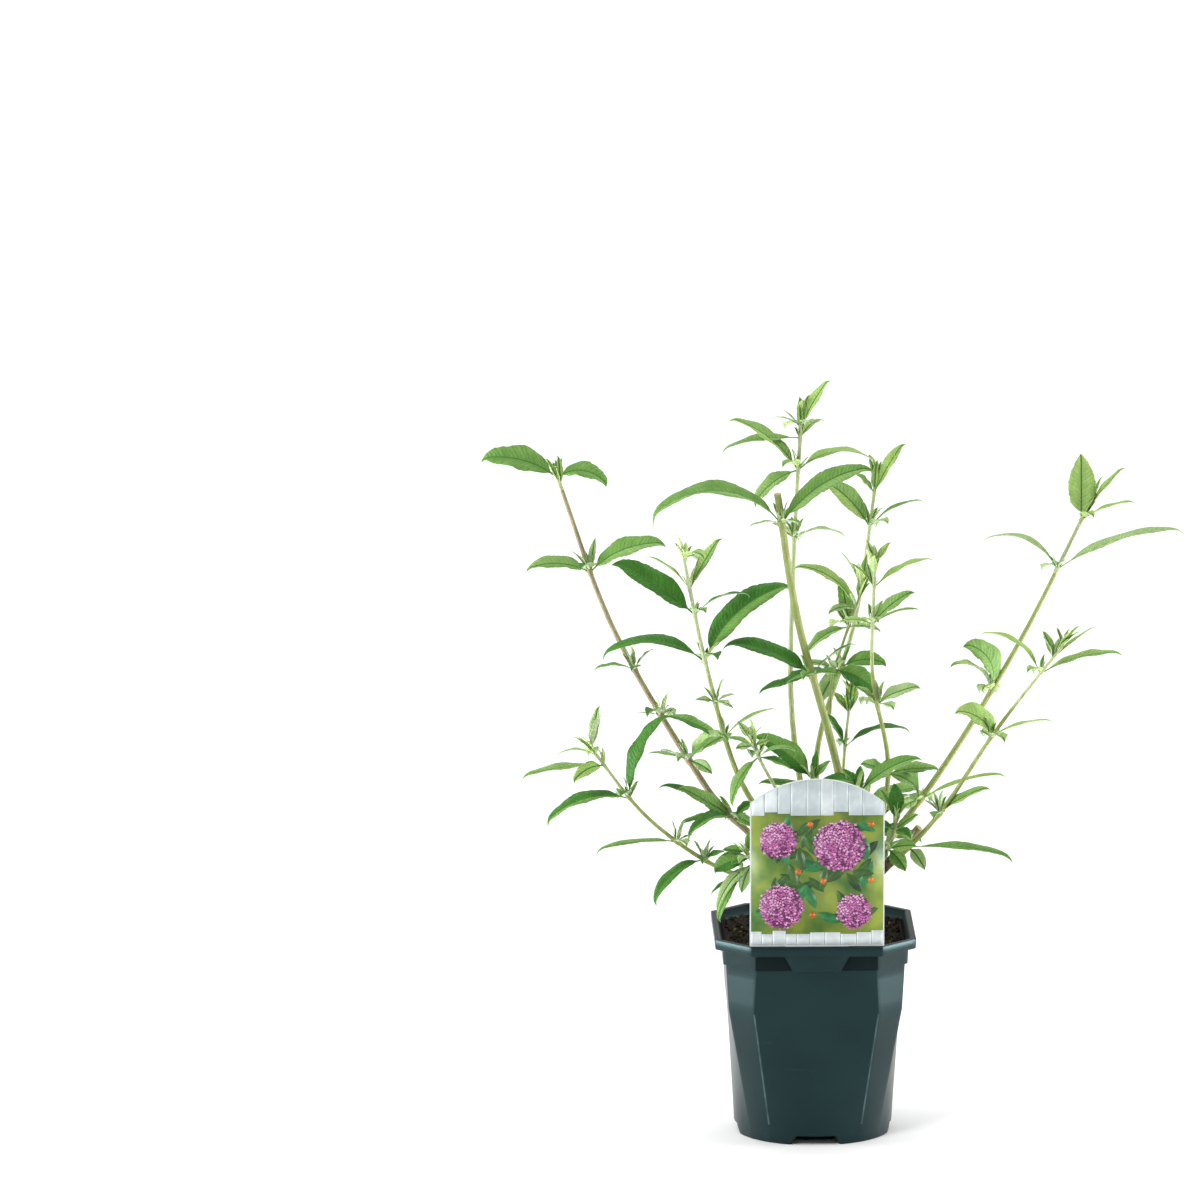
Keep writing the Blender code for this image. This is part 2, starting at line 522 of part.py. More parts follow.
def build_compost():
    """Peat compost that fills the pot to just under its rim, with an uneven top."""
    clear = WALL + COMPOST_CLEAR
    band = POT_HEIGHT - BAND_HEIGHT
    wall = COLLAR_HALF - clear
    edge = pot_section(band - COMPOST_EDGE_DROP, wall, COLLAR_FLAT - COMPOST_FLAT_INSET, wall)
    angles = [math.atan2(p.y, p.x) for p in body_section(0)]
    plate = PLATE_RADIUS - WALL
    rings = [circle_ring(plate - COMPOST_DRAFT, PLATE_THICK + COMPOST_OVER, angles)]
    floor = CHANNEL_HEIGHT + WALL + COMPOST_OVER
    rings.append(circle_ring(plate + COMPOST_OVER, floor, angles))
    rings += [body_section(height, clear) for height in (floor, *COMPOST_LEVELS)]
    rings.append(edge)
    for scale in COMPOST_RINGS:
        ring = [Vector((p.x * scale, p.y * scale, compost_height(p.x * scale, p.y * scale))) for p in edge]
        rings.append(ring)
    bm = bmesh.new()
    loft(bm, rings)
    bmesh.ops.triangulate(bm, faces=[f for f in bm.faces if len(f.verts) > 4])
    return mesh("compost", bm, *PEAT)


def compost_height(x, y):
    """The compost's level, highest at the foot of the plant and never above it."""
    if math.hypot(x - CROWN_FOOT.x, y - CROWN_FOOT.y) < CROWN_FLARE[0][1] + COMPOST_FLAT_TOP:
        return COMPOST_LEVEL
    return COMPOST_LEVEL - COMPOST_DIP * random.random()


def build_tag():
    """The label: a card with an arched top and a tongue, one thickness throughout."""
    half, rise = TAG_WIDTH / 2, TAG_TOP - TAG_SHOULDER
    radius = (half**2 + rise**2) / (2 * rise)
    sweep = math.asin(half / radius)
    arch = []
    for step in range(ARC_POINTS + 1):
        angle = sweep - 2 * sweep * step / ARC_POINTS
        arch.append((radius * math.sin(angle), TAG_TOP - radius + radius * math.cos(angle)))
    foot = POT_HEIGHT + GAP
    low, side, neck = TONGUE_FOOT / 2, TONGUE_TOP / 2, POT_HEIGHT - BAND_HEIGHT + NECK_RISE
    outline = [(-half, foot), (-side, foot), (-side, neck), (-low, POT_HEIGHT - TONGUE_DEPTH)]
    outline += [(low, POT_HEIGHT - TONGUE_DEPTH), (side, neck), (side, foot), (half, foot), *arch]
    bm = bmesh.new()
    loft(bm, [[Vector((x, TAG_Y + shift, z)) for x, z in outline]
              for shift in (-TAG_THICK / 2, TAG_THICK / 2)])
    return mesh("tag", bm, *CARD, smooth=False)


def lobed(angle):
    """How far the crown's foot swells at an angle round it."""
    return 1 + CROWN_LOBE_DEPTH * math.cos(CROWN_LOBES * angle)


def build_crown():
    """The old woody crown: a leaning foot that flares at the compost, under a broad head."""
    around = [2 * math.pi * k / CROWN_SIDES for k in range(CROWN_SIDES)]
    rings = []
    for height, radius in CROWN_FLARE:
        centre = CROWN_FOOT.lerp(CROWN_HEART, height / (CROWN_HEART.z - CROWN_FOOT.z))
        rings.append([
            centre + Vector((math.cos(a), math.sin(a), 0)) * radius * lobed(a)
            for a in around])
    for slope in CROWN_SLOPES:
        level = math.radians(slope)
        rings.append([
            CROWN_HEART + Vector((
                CROWN_SIZE.x * math.cos(level) * math.cos(a),
                CROWN_SIZE.y * math.cos(level) * math.sin(a),
                CROWN_SIZE.z * math.sin(level)))
            for a in around])
    bm = bmesh.new()
    loft(bm, rings)
    return mesh("woody_crown", bm, *OLD_WOOD)


def crown_foot(offset):
    """The place and the outward direction on the crown's head at an offset from its heart."""
    a, b, c = CROWN_SIZE
    across, along = offset
    rise = c * math.sqrt(1 - (across / a) ** 2 - (along / b) ** 2)
    out = Vector((across / a**2, along / b**2, rise / c**2)).normalized()
    return CROWN_HEART + Vector((across, along, rise)) + out * SEAT, out


def direction(turn, slope):
    """The unit vector at a turn from the right and a slope from the level, in degrees."""
    turn, slope = math.radians(turn), math.radians(slope)
    return Vector((math.cos(slope) * math.cos(turn), math.cos(slope) * math.sin(turn), math.sin(slope)))


def curve_through(knots, steps):
    """A smooth curve through the knots, as points at even steps of each span."""
    ends = [knots[0] * 2 - knots[1], *knots, knots[-1] * 2 - knots[-2]]
    points = []
    for a, b, c, d in zip(ends, ends[1:], ends[2:], ends[3:]):
        for step in range(steps):
            t = step / steps
            points.append(0.5 * (2 * b + (c - a) * t + (2 * a - 5 * b + 4 * c - d) * t**2
                                 + (3 * b - a - 3 * c + d) * t**3))
    return [*points, knots[-1].copy()]


def stem_path(stem, foot, first):
    """The middle line of a stem from its foot, square to what carries it, to its tip."""
    return [foot, *curve_through([foot + first * ROOT_RUN, *map(Vector, stem.knots)], CURVE_STEPS)]


def at_height(path, height):
    """The place on a rising path at a height, with the part of the path below it."""
    for i, (low, high) in enumerate(zip(path, path[1:])):
        if low.z <= height <= high.z:
            part = (height - low.z) / max(high.z - low.z, 1e-6)
            return low.lerp(high, part), (i + part) / (len(path) - 1)
    return path[-1].copy(), 1.0


def tube(bm, path, radii, sides):
    """A tapering limb along a path, flat at both ends."""
    rings = []
    side = Vector((0, 1, 0))
    for i, point in enumerate(path):
        ahead = (path[min(i + 1, len(path) - 1)] - path[max(i - 1, 0)]).normalized()
        across = (side - ahead * side.dot(ahead)).normalized()
        other = ahead.cross(across)
        rings.append([
            point + (across * math.cos(a) + other * math.sin(a)) * radii[i]
            for a in (2 * math.pi * k / sides for k in range(sides))])
        side = across
    loft(bm, rings)


def taper(girth, start, end, count):
    """Radii that go evenly from one part of a stem to another."""
    thick, thin = girth
    return [thick + (thin - thick) * (start + (end - start) * i / (count - 1)) for i in range(count)]


def cut_path(path, start, end):
    """The stretch of a path between two parts of it, which run from 0 to 1."""
    def place(part):
        spot = part * (len(path) - 1)
        low = min(int(spot), len(path) - 2)
        return path[low].lerp(path[low + 1], spot - low)

    inside = [p for i, p in enumerate(path) if start < i / (len(path) - 1) < end]
    points = [place(start), *inside, place(end)]
    kept = [points[0]]
    for point in points[1:-1]:
        if min((point - kept[-1]).length, (point - points[-1]).length) > LEAST_STEP:
            kept.append(point)
    return [*kept, points[-1]]


def leaf_width(part, leaf):
    """Half the blade's width at a part of its length: a stalk, then a long pointed blade."""
    if part <= STALK_PART:
        return STALK_HALF
    along = (part - STALK_PART) / (1 - STALK_PART)
    full = along**BLADE_POWER * (1 - along) / BLADE_PEAK
    return max(leaf.width * leaf.length / 2 * full, STALK_HALF * (1 - along))


def leaf_frames(leaf, root, parts):
    """The midrib's place, side and face direction at each part of the leaf's length."""
    side = direction(leaf.heading + 90, 0)
    roll = math.radians(leaf.face) * (-1 if side.y > 0 else 1)
    frames, place, done = [], root.copy(), 0
    for part in parts:
        while done < round(part * LEAF_STEPS):
            slope = leaf.rise + leaf.droop * (0.5 - (done + 0.5) / LEAF_STEPS)
            place = place + direction(leaf.heading, slope) * leaf.length / LEAF_STEPS
            done += 1
        slope = leaf.rise + leaf.droop * (0.5 - part)
        ahead = direction(leaf.heading, slope)
        up = ahead.cross(side)
        frames.append((place.copy(), side * math.cos(roll) + up * -math.sin(roll),
                       up * math.cos(roll) + side * math.sin(roll)))
    return frames


def leaf_solid(leaf, root, swell=0.0):
    """A closed blade folded along its midrib, with its stalk's end at the root."""
    parts = LONG_PARTS if leaf.length > SHORT_LEAF else SHORT_PARTS
    thick = max(leaf.length / BLADE_SLIM, BLADE_LEAST) / 2 + swell
    bm = bmesh.new()
    rows = []
    for part, (place, side, up) in zip(parts, leaf_frames(leaf, root, parts)):
        half = leaf_width(part, leaf) + swell
        fold = up * half * (0 if part == 0 else BLADE_FOLD)
        rows.append([bm.verts.new(place + offset) for offset in (
            side * half + fold, up * thick, -side * half + fold, -up * thick)])
    tip = bm.verts.new(leaf_frames(leaf, root, (1,))[0][0])
    for one, two in zip(rows, rows[1:]):
        for i in range(4):
            bm.faces.new((one[i], one[(i + 1) % 4], two[(i + 1) % 4], two[i]))
    for i in range(4):
        bm.faces.new((rows[-1][i], rows[-1][(i + 1) % 4], tip))
    bm.faces.new(rows[0][::-1])
    bmesh.ops.triangulate(bm, faces=bm.faces)
    return bm


def tree_of(bm):
    """A search tree of a bmesh's faces."""
    bm.normal_update()
    return BVHTree.FromBMesh(bm)


def place_leaves(rooted, others):
    """Solid leaves for a mass, without those that would touch another solid."""
    kept = []
    for leaf, root in rooted:
        trial = leaf_solid(leaf, root, GAP)
        clear = not any(tree_of(trial).overlap(tree) for tree in others)
        trial.free()
        if clear:
            kept.append(leaf_solid(leaf, root))
    return kept


def sight_leaf(deal, back):
    """A leaf to the front or the back whose slope follows the line of sight."""
    side = 1 if back else -1
    return Leaf(deal.uniform(*SIGHT_LEAF), side * 90 + deal.uniform(-SIGHT_SWING, SIGHT_SWING),
                -side * SIGHT_SLOPE, deal.uniform(*SIGHT_DROOP), 0, SIGHT_WIDTH)


def leafy_mass(name, twig, rooted, others):
    """One mass: a twig with its leaves fused on, and a search tree of the result."""
    blades = place_leaves(rooted, others)
    body = mesh(name, twig, *LEAVES)
    parts = [mesh(f"{name}_blade_{i}", bm, *TOOL) for i, bm in enumerate(blades)]
    boolean(body, "UNION", parts, "MANIFOLD")
    others.append(solid_tree(body))


def solid_tree(piece):
    """A search tree of a finished object, in millimetres."""
    bm = bmesh.new()
    bm.from_mesh(piece.data)
    bmesh.ops.scale(bm, vec=(1 / MM,) * 3, verts=bm.verts)
    tree = tree_of(bm)
    bm.free()
    return tree


def build_limb(name, path, radii):
    """One bare limb."""
    bm = bmesh.new()
    tube(bm, path, radii, LIMB_SIDES)
    return mesh(f"stem_{name}", bm, *GREEN_WOOD)


def stem_radius(stem, part):
    """The stem's radius at a part of its length."""
    return stem.girth[0] + (stem.girth[1] - stem.girth[0]) * part


def build_shoot(name, stem, path, start, others):
    """The leafy end of a stem, past its bare part."""
    stretch = cut_path(path, start, 1.0)
    twig = bmesh.new()
    tube(twig, stretch, taper(stem.girth, start, 1.0, len(stretch)), TWIG_SIDES)
    rooted = []
    for height, leaves in stem.joints.items():
        if at_height(path, height)[1] > start:
            seat = at_height(path, min(height, path[-1].z - TIP_SPACE))[0]
            rooted += [(leaf, seat) for leaf in leaves]
    deal, last = random.Random(name), 0
    for height in sorted(stem.joints):
        place, part = at_height(path, height + SIGHT_LIFT)
        if start < part < 1 and height - last > SIGHT_SPACE:
            rooted += [(sight_leaf(deal, back), place) for back in (True, False)]
            last = height
    leafy_mass(f"shoot_{name}", twig, rooted, others)


def build_tuft(name, stem, path, height, leaves, others, back=False):
    """The leaves at one joint of a bare stem, on a short nub in front of it or behind it."""
    place, part = at_height(path, height)
    ahead = (at_height(path, height + NUB_SIGHT)[0] - place).normalized()
    out = Vector((0, 1 if back else -1, 0))
    out = (out - ahead * out.dot(ahead)).normalized()
    root = place + out * (stem_radius(stem, part) + SEAT)
    twig = bmesh.new()
    tube(twig, [root, root + out * NUB_LENGTH], [NUB_RADIUS, NUB_RADIUS], TWIG_SIDES)
    rooted = [(leaf, root + out * (NUB_LENGTH - TIP_SPACE)) for leaf in leaves]
    leafy_mass(name, twig, rooted, others)


def build_tufts(name, stem, path, start, others):
    """Every tuft on the bare part of a stem, in front and, at chosen joints, behind."""
    low = [height for height in stem.joints if at_height(path, height)[1] <= start]
    for number, height in enumerate(low, 1):
        deal = random.Random(f"{name} {height}")
        front = [sight_leaf(deal, False)] if height in FRONTED.get(name, ()) else []
        leaves = [*stem.joints[height], *front]
        build_tuft(f"leaves_{name}_{number}", stem, path, height, leaves, others)
        if height in BACKED.get(name, ()):
            behind = [sight_leaf(deal, True) for count in range(BACK_LEAVES)]
            build_tuft(f"leaves_{name}_{number}_back", stem, path, height, behind, others, back=True)


def basal_shoot(name, offset, length, count, seed, others):
    """A short shoot from the crown whose leaves turn round it by a seeded rule."""
    deal = random.Random(seed)
    root, out = crown_foot(offset)
    turn = math.degrees(math.atan2(out.y, out.x))
    slope = math.degrees(math.asin(out.z))
    end = root + direction(turn, slope + BASAL_LIFT) * length
    path = [root, root + out * ROOT_RUN, root.lerp(end, BEND_PART), end]
    twig = bmesh.new()
    tube(twig, path, taper(BASAL_GIRTH, 0, 1, len(path)), TWIG_SIDES)
    rooted = []
    for number in range(count):
        side = 1 if number % 2 else -1
        leaf = Leaf(deal.uniform(*BASAL_LEAF), turn + side * deal.uniform(*BASAL_FAN),
                    deal.uniform(*BASAL_RISE), deal.uniform(*BASAL_DROOP), deal.uniform(*BASAL_FACE),
                    deal.uniform(*BASAL_WIDTH))
        rooted.append((leaf, path[2].lerp(end, number / (count - 1) * BASAL_LAST)))
    leafy_mass(f"basal_{name}", twig, rooted, others)


def build_plant():
    """The crown, its stems and every mass of leaves, each kept clear of the rest."""
    others = [solid_tree(build_crown())]
    paths = {name: stem_path(stem, *crown_foot(stem.foot)) for name, stem in STEMS.items()}
    bare = {name: at_height(paths[name], stem.bare_to)[1] for name, stem in STEMS.items() if stem.bare_to}
    for name, end in bare.items():
        stretch = cut_path(paths[name], 0, end)
        radii = taper(STEMS[name].girth, 0, end, len(stretch))
        others.append(solid_tree(build_limb(name, stretch, radii)))
    foot, out = crown_foot(STUB_FOOT)
    stub = [foot, foot + out * ROOT_RUN, foot.lerp(Vector(STUB_TIP), BEND_PART), Vector(STUB_TIP)]
    others.append(solid_tree(build_limb("cut_stub", stub, [STUB_RADIUS] * len(stub))))
    for name, stem in STEMS.items():
        path, start = paths[name], bare.get(name, 0)
        if 0 < start < 1:
            start += SEAT / sum((b - a).length for a, b in zip(path, path[1:]))
        if start < 1:
            build_shoot(name, stem, path, start, others)
    carrier = STEMS[FORK_CARRIER]
    fork_root, part = at_height(paths[FORK_CARRIER], FORK_HEIGHT)
    first = direction(*FORK_START)
    foot = fork_root + first * (stem_radius(carrier, part) + FORK_SEAT)
    build_shoot("forked", FORK, stem_path(FORK, foot, first), 0, others)
    for name, start in bare.items():
        build_tufts(name, STEMS[name], paths[name], start, others)
    for name, sizes in BASAL.items():
        basal_shoot(name, *sizes, others)


for leftover in list(bpy.data.objects):
    bpy.data.objects.remove(leftover)
build_pot()
build_compost()
build_tag()
build_plant()
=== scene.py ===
"""A young butterfly bush in a moulded nursery pot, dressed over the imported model.

Every class below is one sub-assembly, with its sizes in millimetres and its angles in
degrees. A piece is turned to metres when it is finished. +Z is up, the label stands at
the front, towards -Y, and the origin is at the middle of the pot's flat underside.
"""
import sys

import logging
import math
import random
from collections.abc import Callable, Iterable, Sequence
from dataclasses import dataclass
from enum import Enum
from typing import Any, NamedTuple

import bmesh
import bpy
from mathutils import Euler, Matrix, Vector, noise

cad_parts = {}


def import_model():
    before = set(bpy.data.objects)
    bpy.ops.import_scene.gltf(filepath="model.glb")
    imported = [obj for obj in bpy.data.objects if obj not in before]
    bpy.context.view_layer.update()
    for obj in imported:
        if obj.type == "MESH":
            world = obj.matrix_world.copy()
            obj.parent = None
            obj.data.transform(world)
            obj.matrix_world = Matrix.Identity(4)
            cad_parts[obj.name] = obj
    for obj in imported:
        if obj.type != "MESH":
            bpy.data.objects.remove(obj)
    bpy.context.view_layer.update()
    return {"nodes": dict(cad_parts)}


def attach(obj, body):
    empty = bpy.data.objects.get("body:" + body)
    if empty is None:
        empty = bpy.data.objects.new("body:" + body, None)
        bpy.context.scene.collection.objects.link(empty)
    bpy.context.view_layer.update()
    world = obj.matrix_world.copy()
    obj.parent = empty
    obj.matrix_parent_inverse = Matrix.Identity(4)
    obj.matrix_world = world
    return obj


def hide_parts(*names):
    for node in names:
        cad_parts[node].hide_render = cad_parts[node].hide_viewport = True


LOG = logging.getLogger("bush")
MM = 0.001
# The golden angle in radians, which deals places evenly round a middle
GOLDEN_TURN = 2.399963
# Where the crown's foot stands on the compost
CROWN_FOOT = (14, 3, 170.5)
Pair = tuple[float, float]
Place = tuple[float, float, float]
Line = Sequence[Vector]
Mesh = bmesh.types.BMesh
Loops = list[list[bmesh.types.BMVert]]
Tree = bpy.types.NodeTree
Socket = bpy.types.NodeSocket


def linear(shade: str) -> tuple[float, float, float, float]:
    """Turns an sRGB hex colour into a linear one.

    Args:
        shade: The colour, as # and six hex digits.

    Returns:
        Red, green and blue, with full alpha.
    """
    values = [int(shade[i:i + 2], 16) / 255 for i in (1, 3, 5)]
    red, green, blue = (v / 12.92 if v <= 0.04045 else ((v + 0.055) / 1.055) ** 2.4 for v in values)
    return red, green, blue, 1.0


def add_node(tree: Tree, kind: str, settings: dict[Any, Any] | None = None,
             links: dict[Any, Socket] | None = None) -> bpy.types.Node:
    """Adds one node to a material.

    Args:
        tree: The material's node tree.
        kind: The node's type name.
        settings: Values by property name, or else by the name or number of an input.
        links: Output sockets by the name or number of the input that they feed.

    Returns:
        The new node.
    """
    node = tree.nodes.new(kind)
    for key, value in (settings or {}).items():
        if isinstance(key, str) and hasattr(node, key):
            setattr(node, key, value)
        else:
            node.inputs[key].default_value = value
    for key, socket in (links or {}).items():
        tree.links.new(socket, node.inputs[key])
    return node


@dataclass(frozen=True)
class Finish:
    """A surface whose colour drifts between two shades over a fine relief.

    The scale of each pattern is the size of its patches in millimetres.
    """

    name: str
    shade: str
    drift: str
    drift_mm: float = 18.0
    roughness: float = 0.5
    relief: float = 0.15
    relief_mm: float = 1.2
    specular: float = 0.5
    sheen: float = 0.0
    ior: float = 1.5
    gloss_tint: str = "#ffffff"

    def material(self) -> bpy.types.Material:
        """The finish as a material, made once however many pieces wear it.

        Returns:
            The material.
        """
        made = bpy.data.materials.get(self.name)
        if made:
            return made
        made = bpy.data.materials.new(self.name)
        made.use_nodes = True
        tree = made.node_tree
        shader = tree.nodes["Principled BSDF"]
        uniform = {"Roughness": self.roughness, "IOR": self.ior, "Sheen Weight": self.sheen,
                   "Specular IOR Level": self.specular}
        for socket, value in uniform.items():
            shader.inputs[socket].default_value = value
        shader.inputs["Specular Tint"].default_value = linear(self.gloss_tint)
        place = add_node(tree, "ShaderNodeTexCoord").outputs["Object"]
        tree.links.new(self.paint(tree, place), shader.inputs["Base Color"])
        tree.links.new(self.raised(tree, place), shader.inputs["Normal"])
        made.diffuse_color = linear(self.shade)
        return made

    def patches(self, tree: Tree, place: Socket, size: float, detail: float = 3.0) -> Socket:
        """Soft patches of noise of a size in millimetres, from 0 to 1."""
        return add_node(tree, "ShaderNodeTexNoise", {"Scale": 1 / (size * MM), "Detail": detail},
                        {"Vector": place}).outputs["Fac"]

    def drawn(self, tree: Tree, place: Socket, upright: float) -> Socket:
        """The place with its height scaled: under 1 draws patterns out upwards, over 1 level."""
        return add_node(tree, "ShaderNodeMapping", {"Scale": (1, 1, upright)},
                        {"Vector": place}).outputs["Vector"]

    def blend(self, tree: Tree, amount: Socket, base: Any, over: str, low: float, high: float) -> Socket:
        """Lays a second shade over a base where an amount rises from low to high.

        Args:
            tree: The material's node tree.
            amount: The pattern that says where the second shade shows.
            base: The first shade, as a hex colour or a colour socket.
            over: The second shade.
            low: The amount below which only the base shows.
            high: The amount above which only the second shade shows.

        Returns:
            The mixed colour's socket.
        """
        where = add_node(tree, "ShaderNodeMapRange", {"From Min": low, "From Max": high},
                         {"Value": amount}).outputs["Result"]
        plain = isinstance(base, str)
        mix = add_node(tree, "ShaderNodeMix",
                       {"data_type": "RGBA", 7: linear(over), **({6: linear(base)} if plain else {})},
                       {0: where, **({} if plain else {6: base})})
        return mix.outputs[2]

    def paint(self, tree: Tree, place: Socket) -> Socket:
        """The colour: the shade, with soft patches of its drift."""
        drifts = self.patches(tree, place, self.drift_mm)
        return self.blend(tree, drifts, self.shade, self.drift, low=0.35, high=0.65)

    def raised(self, tree: Tree, place: Socket) -> Socket:
        """The relief: fine bumps of the relief's size.

        Args:
            tree: The material's node tree.
            place: The place on the piece.

        Returns:
            The normal's socket.
        """
        bumps = self.patches(tree, place, self.relief_mm, detail=2.0)
        return add_node(tree, "ShaderNodeBump", {"Strength": self.relief, "Distance": self.relief_mm * MM},
                        {"Height": bumps}).outputs["Normal"]


@dataclass(frozen=True)
class MouldedPolypropylene(Finish):
    """Recycled polypropylene, injection moulded against a satin tool.

    It gives a dark blue-green that picks up wide soft reflections on its facets, with the
    faint swirls of the melt and pale rubs where pots have been stacked.
    """

    gloss_tint: str = "#93cdd3"
    rub: str = "#283638"
    rub_mm: float = 30.0

    def paint(self, tree: Tree, place: Socket) -> Socket:
        """The melt's swirls, with pale rubs drawn out round the pot."""
        rubs = self.patches(tree, self.drawn(tree, place, upright=7), self.rub_mm, detail=6.0)
        return self.blend(tree, rubs, super().paint(tree, place), self.rub, low=0.68, high=1.0)


@dataclass(frozen=True)
class PaintedPlank(Finish):
    """A print of white-painted boards on coated card: upright grain under thin paint."""

    grain: str = "#b9c2c8"
    grain_mm: float = 2.2

    def paint(self, tree: Tree, place: Socket) -> Socket:
        """Pale paint with greyer upright streaks of grain."""
        streaks = self.patches(tree, self.drawn(tree, place, upright=0.12), self.grain_mm, detail=5.0)
        return self.blend(tree, streaks, super().paint(tree, place), self.grain, low=0.60, high=0.85)


@dataclass(frozen=True)
class Bark(Finish):
    """The skin of a stem: a grain drawn out along it, with the pale specks of its pores."""

    speck: str = "#cfc8a8"
    speck_mm: float = 2.4

    def paint(self, tree: Tree, place: Socket) -> Socket:
        """Streaks that run up the stem, with a pale speck in the middle of scattered cells.

        Args:
            tree: The material's node tree.
            place: The place on the piece.

        Returns:
            The colour's socket.
        """
        drawn = self.drawn(tree, place, upright=0.3)
        base = super().paint(tree, drawn)
        cells = add_node(tree, "ShaderNodeTexVoronoi", {"Scale": 1 / (self.speck_mm * MM)}, {"Vector": drawn})
        near = add_node(tree, "ShaderNodeMath", {"operation": "SUBTRACT", 0: 1.0},
                        {1: cells.outputs["Distance"]}).outputs["Value"]
        return self.blend(tree, near, base, self.speck, low=0.78, high=0.95)


@dataclass(frozen=True)
class LeafSkin(Finish):
    """The skin of a leaf, which swells between side veins that slant towards the tip.

    The veins follow the leaf's own map, laid out in metres from its midrib and its root.
    """

    vein: str = "#4d7a35"
    sunk: bool = True
    vein_mm: float = 3.6
    slant: float = 0.8
    stray: float = 2.6
    net_mm: float = 3.2
    depth_mm: float = 0.4
    cushion: float = 0.8

    def veins(self, tree: Tree, place: Socket) -> Socket:
        """How near a place is to a side vein, which strays into a net.

        Args:
            tree: The material's node tree.
            place: The place on the piece.

        Returns:
            The nearness's socket: 0 between two veins, 1 on one.
        """
        laid = add_node(tree, "ShaderNodeUVMap", {"uv_map": "blade"}).outputs["UV"]
        apart = add_node(tree, "ShaderNodeVectorMath", {"operation": "ABSOLUTE"}, {0: laid}).outputs["Vector"]
        beat = 2 / (self.vein_mm * MM)
        along = add_node(tree, "ShaderNodeVectorMath",
                         {"operation": "DOT_PRODUCT", 1: (-self.slant * beat, beat, 0)}, {0: apart})
        strayed = add_node(tree, "ShaderNodeMath", {"operation": "MULTIPLY_ADD", 1: self.stray},
                           {0: self.patches(tree, place, self.net_mm, detail=4.0), 2: along.outputs["Value"]})
        return add_node(tree, "ShaderNodeMath", {"operation": "PINGPONG", 1: 1.0},
                        {0: strayed.outputs["Value"]}).outputs["Value"]

    def paint(self, tree: Tree, place: Socket) -> Socket:
        """The leaf's green, another shade along each side vein."""
        near = self.veins(tree, place)
        return self.blend(tree, near, super().paint(tree, place), self.vein, low=0.4, high=1.5)

    def raised(self, tree: Tree, place: Socket) -> Socket:
        """Cushions between the veins, under the fine relief.

        Args:
            tree: The material's node tree.
            place: The place on the piece.

        Returns:
            The normal's socket.
        """
        cushions = add_node(tree, "ShaderNodeBump", {"invert": self.sunk, "Strength": self.cushion,
                                                     "Distance": self.depth_mm * MM},
                            {"Height": self.veins(tree, place), "Normal": super().raised(tree, place)})
        return cushions.outputs["Normal"]


@dataclass(frozen=True)
class LeafFelt(LeafSkin):
    """The close felt of hairs under a leaf, on veins that stand out from it."""

    drift_mm: float = 8.0
    roughness: float = 0.9
    relief: float = 0.5
    relief_mm: float = 0.8
    specular: float = 0.15
    sunk: bool = False


@dataclass(frozen=True)
class PrintInk(Finish):
    """Ink on coated card: even, under a thin gloss."""

    roughness: float = 0.38
    relief: float = 0.02
    relief_mm: float = 0.5
    specular: float = 0.3


# Each finish has a shade and its drift, the drift's size, roughness, relief, relief's size and gloss
# Polypropylene with carbon black and a blue-green cast, moulded with a satin face
POT_PLASTIC = MouldedPolypropylene("moulded_polypropylene", "#0f1819", "#131f21", 60, 0.34, 0.03, 0.7, 0.46)
# The same plastic on the collar's front, darker and duller: painted shade under the overhang of the rim band
COLLAR_SHADE_PLASTIC = MouldedPolypropylene("collar_painted_shade_polypropylene", "#0c1213", "#10191a", 60, 0.5, 0.03, 0.7, 0.16)
# And on the creases beside the front and the rear: paler, a painted highlight of light on the rounded creases
CREASE_HIGHLIGHT_PLASTIC = MouldedPolypropylene("crease_painted_highlight_polypropylene", "#465355", "#2b3839", 12, 0.4, 0.03, 0.7, 0.46)
# Milled peat with fine bark: nearly black where damp, with no shine
PEAT = Finish("damp_peat", "#17110d", "#261d15", 5, 0.95, 0.9, 1.4, 0.2)
# Crumbs that have dried on top: brown bark, fibre, and specks of moss
DRY_CRUMB = Finish("dried_bark_crumb", "#2f251b", "#4a3b29", 3, 0.95, 0.6, 0.8, 0.2)
MOSS_CRUMB = Finish("moss_crumb", "#4c5722", "#6c732d", 3, 0.9, 0.5, 0.8, 0.2)
# Two years old wood: grey-brown bark that flakes in long plates
OLD_WOOD = Bark("grey_brown_bark", "#4f4131", "#79664b", 6, 0.85, 0.8, 1.2, 0.3, speck="#8f8066")
CUT_WOOD = Finish("cut_wood", "#b5ab7a", "#948253", 2, 0.8, 0.3, 0.6, 0.3)
# This year's wood: green skin, purple-brown where the sun falls on it, felted when young
SUNNED_SKIN = Bark("sunned_stem_skin", "#7a7055", "#8f8662", 7, 0.6, 0.35, 0.8, 0.4, speck="#a2987c")
GREEN_SKIN = Bark("green_stem_skin", "#7f8c48", "#939e5d", 7, 0.55, 0.3, 0.8, 0.4, speck="#b0b682")
FELTED_SKIN = Bark("felted_stem_skin", "#98a574", "#abb58a", 5, 0.8, 0.4, 0.6, 0.3, 0.3, speck="#c3caa6")
# Leaf blades: a thin waxy green above that is quilted between its veins
OLD_BLADE = LeafSkin("old_leaf_face", "#427a2a", "#386c24", 14, 0.42, 0.3, 1.1, 0.16, vein="#2f5c1f")
FULL_BLADE = LeafSkin("full_leaf_face", "#719c4c", "#648f42", 14, 0.46, 0.3, 1.1, 0.15, vein="#517a35")
FRESH_BLADE = LeafSkin("fresh_leaf_face", "#86ab60", "#799f56", 12, 0.5, 0.3, 1.0, 0.15, vein="#688d49")
YOUNG_BLADE = LeafSkin("young_leaf_face", "#9cbb6b", "#8fb05d", 10, 0.6, 0.3, 0.8, 0.15, vein="#809f5d")
PALE_BLADE = LeafSkin("felted_leaf_face", "#a3bd83", "#94b074", 10, 0.85, 0.4, 0.8, 0.15, vein="#86a368")
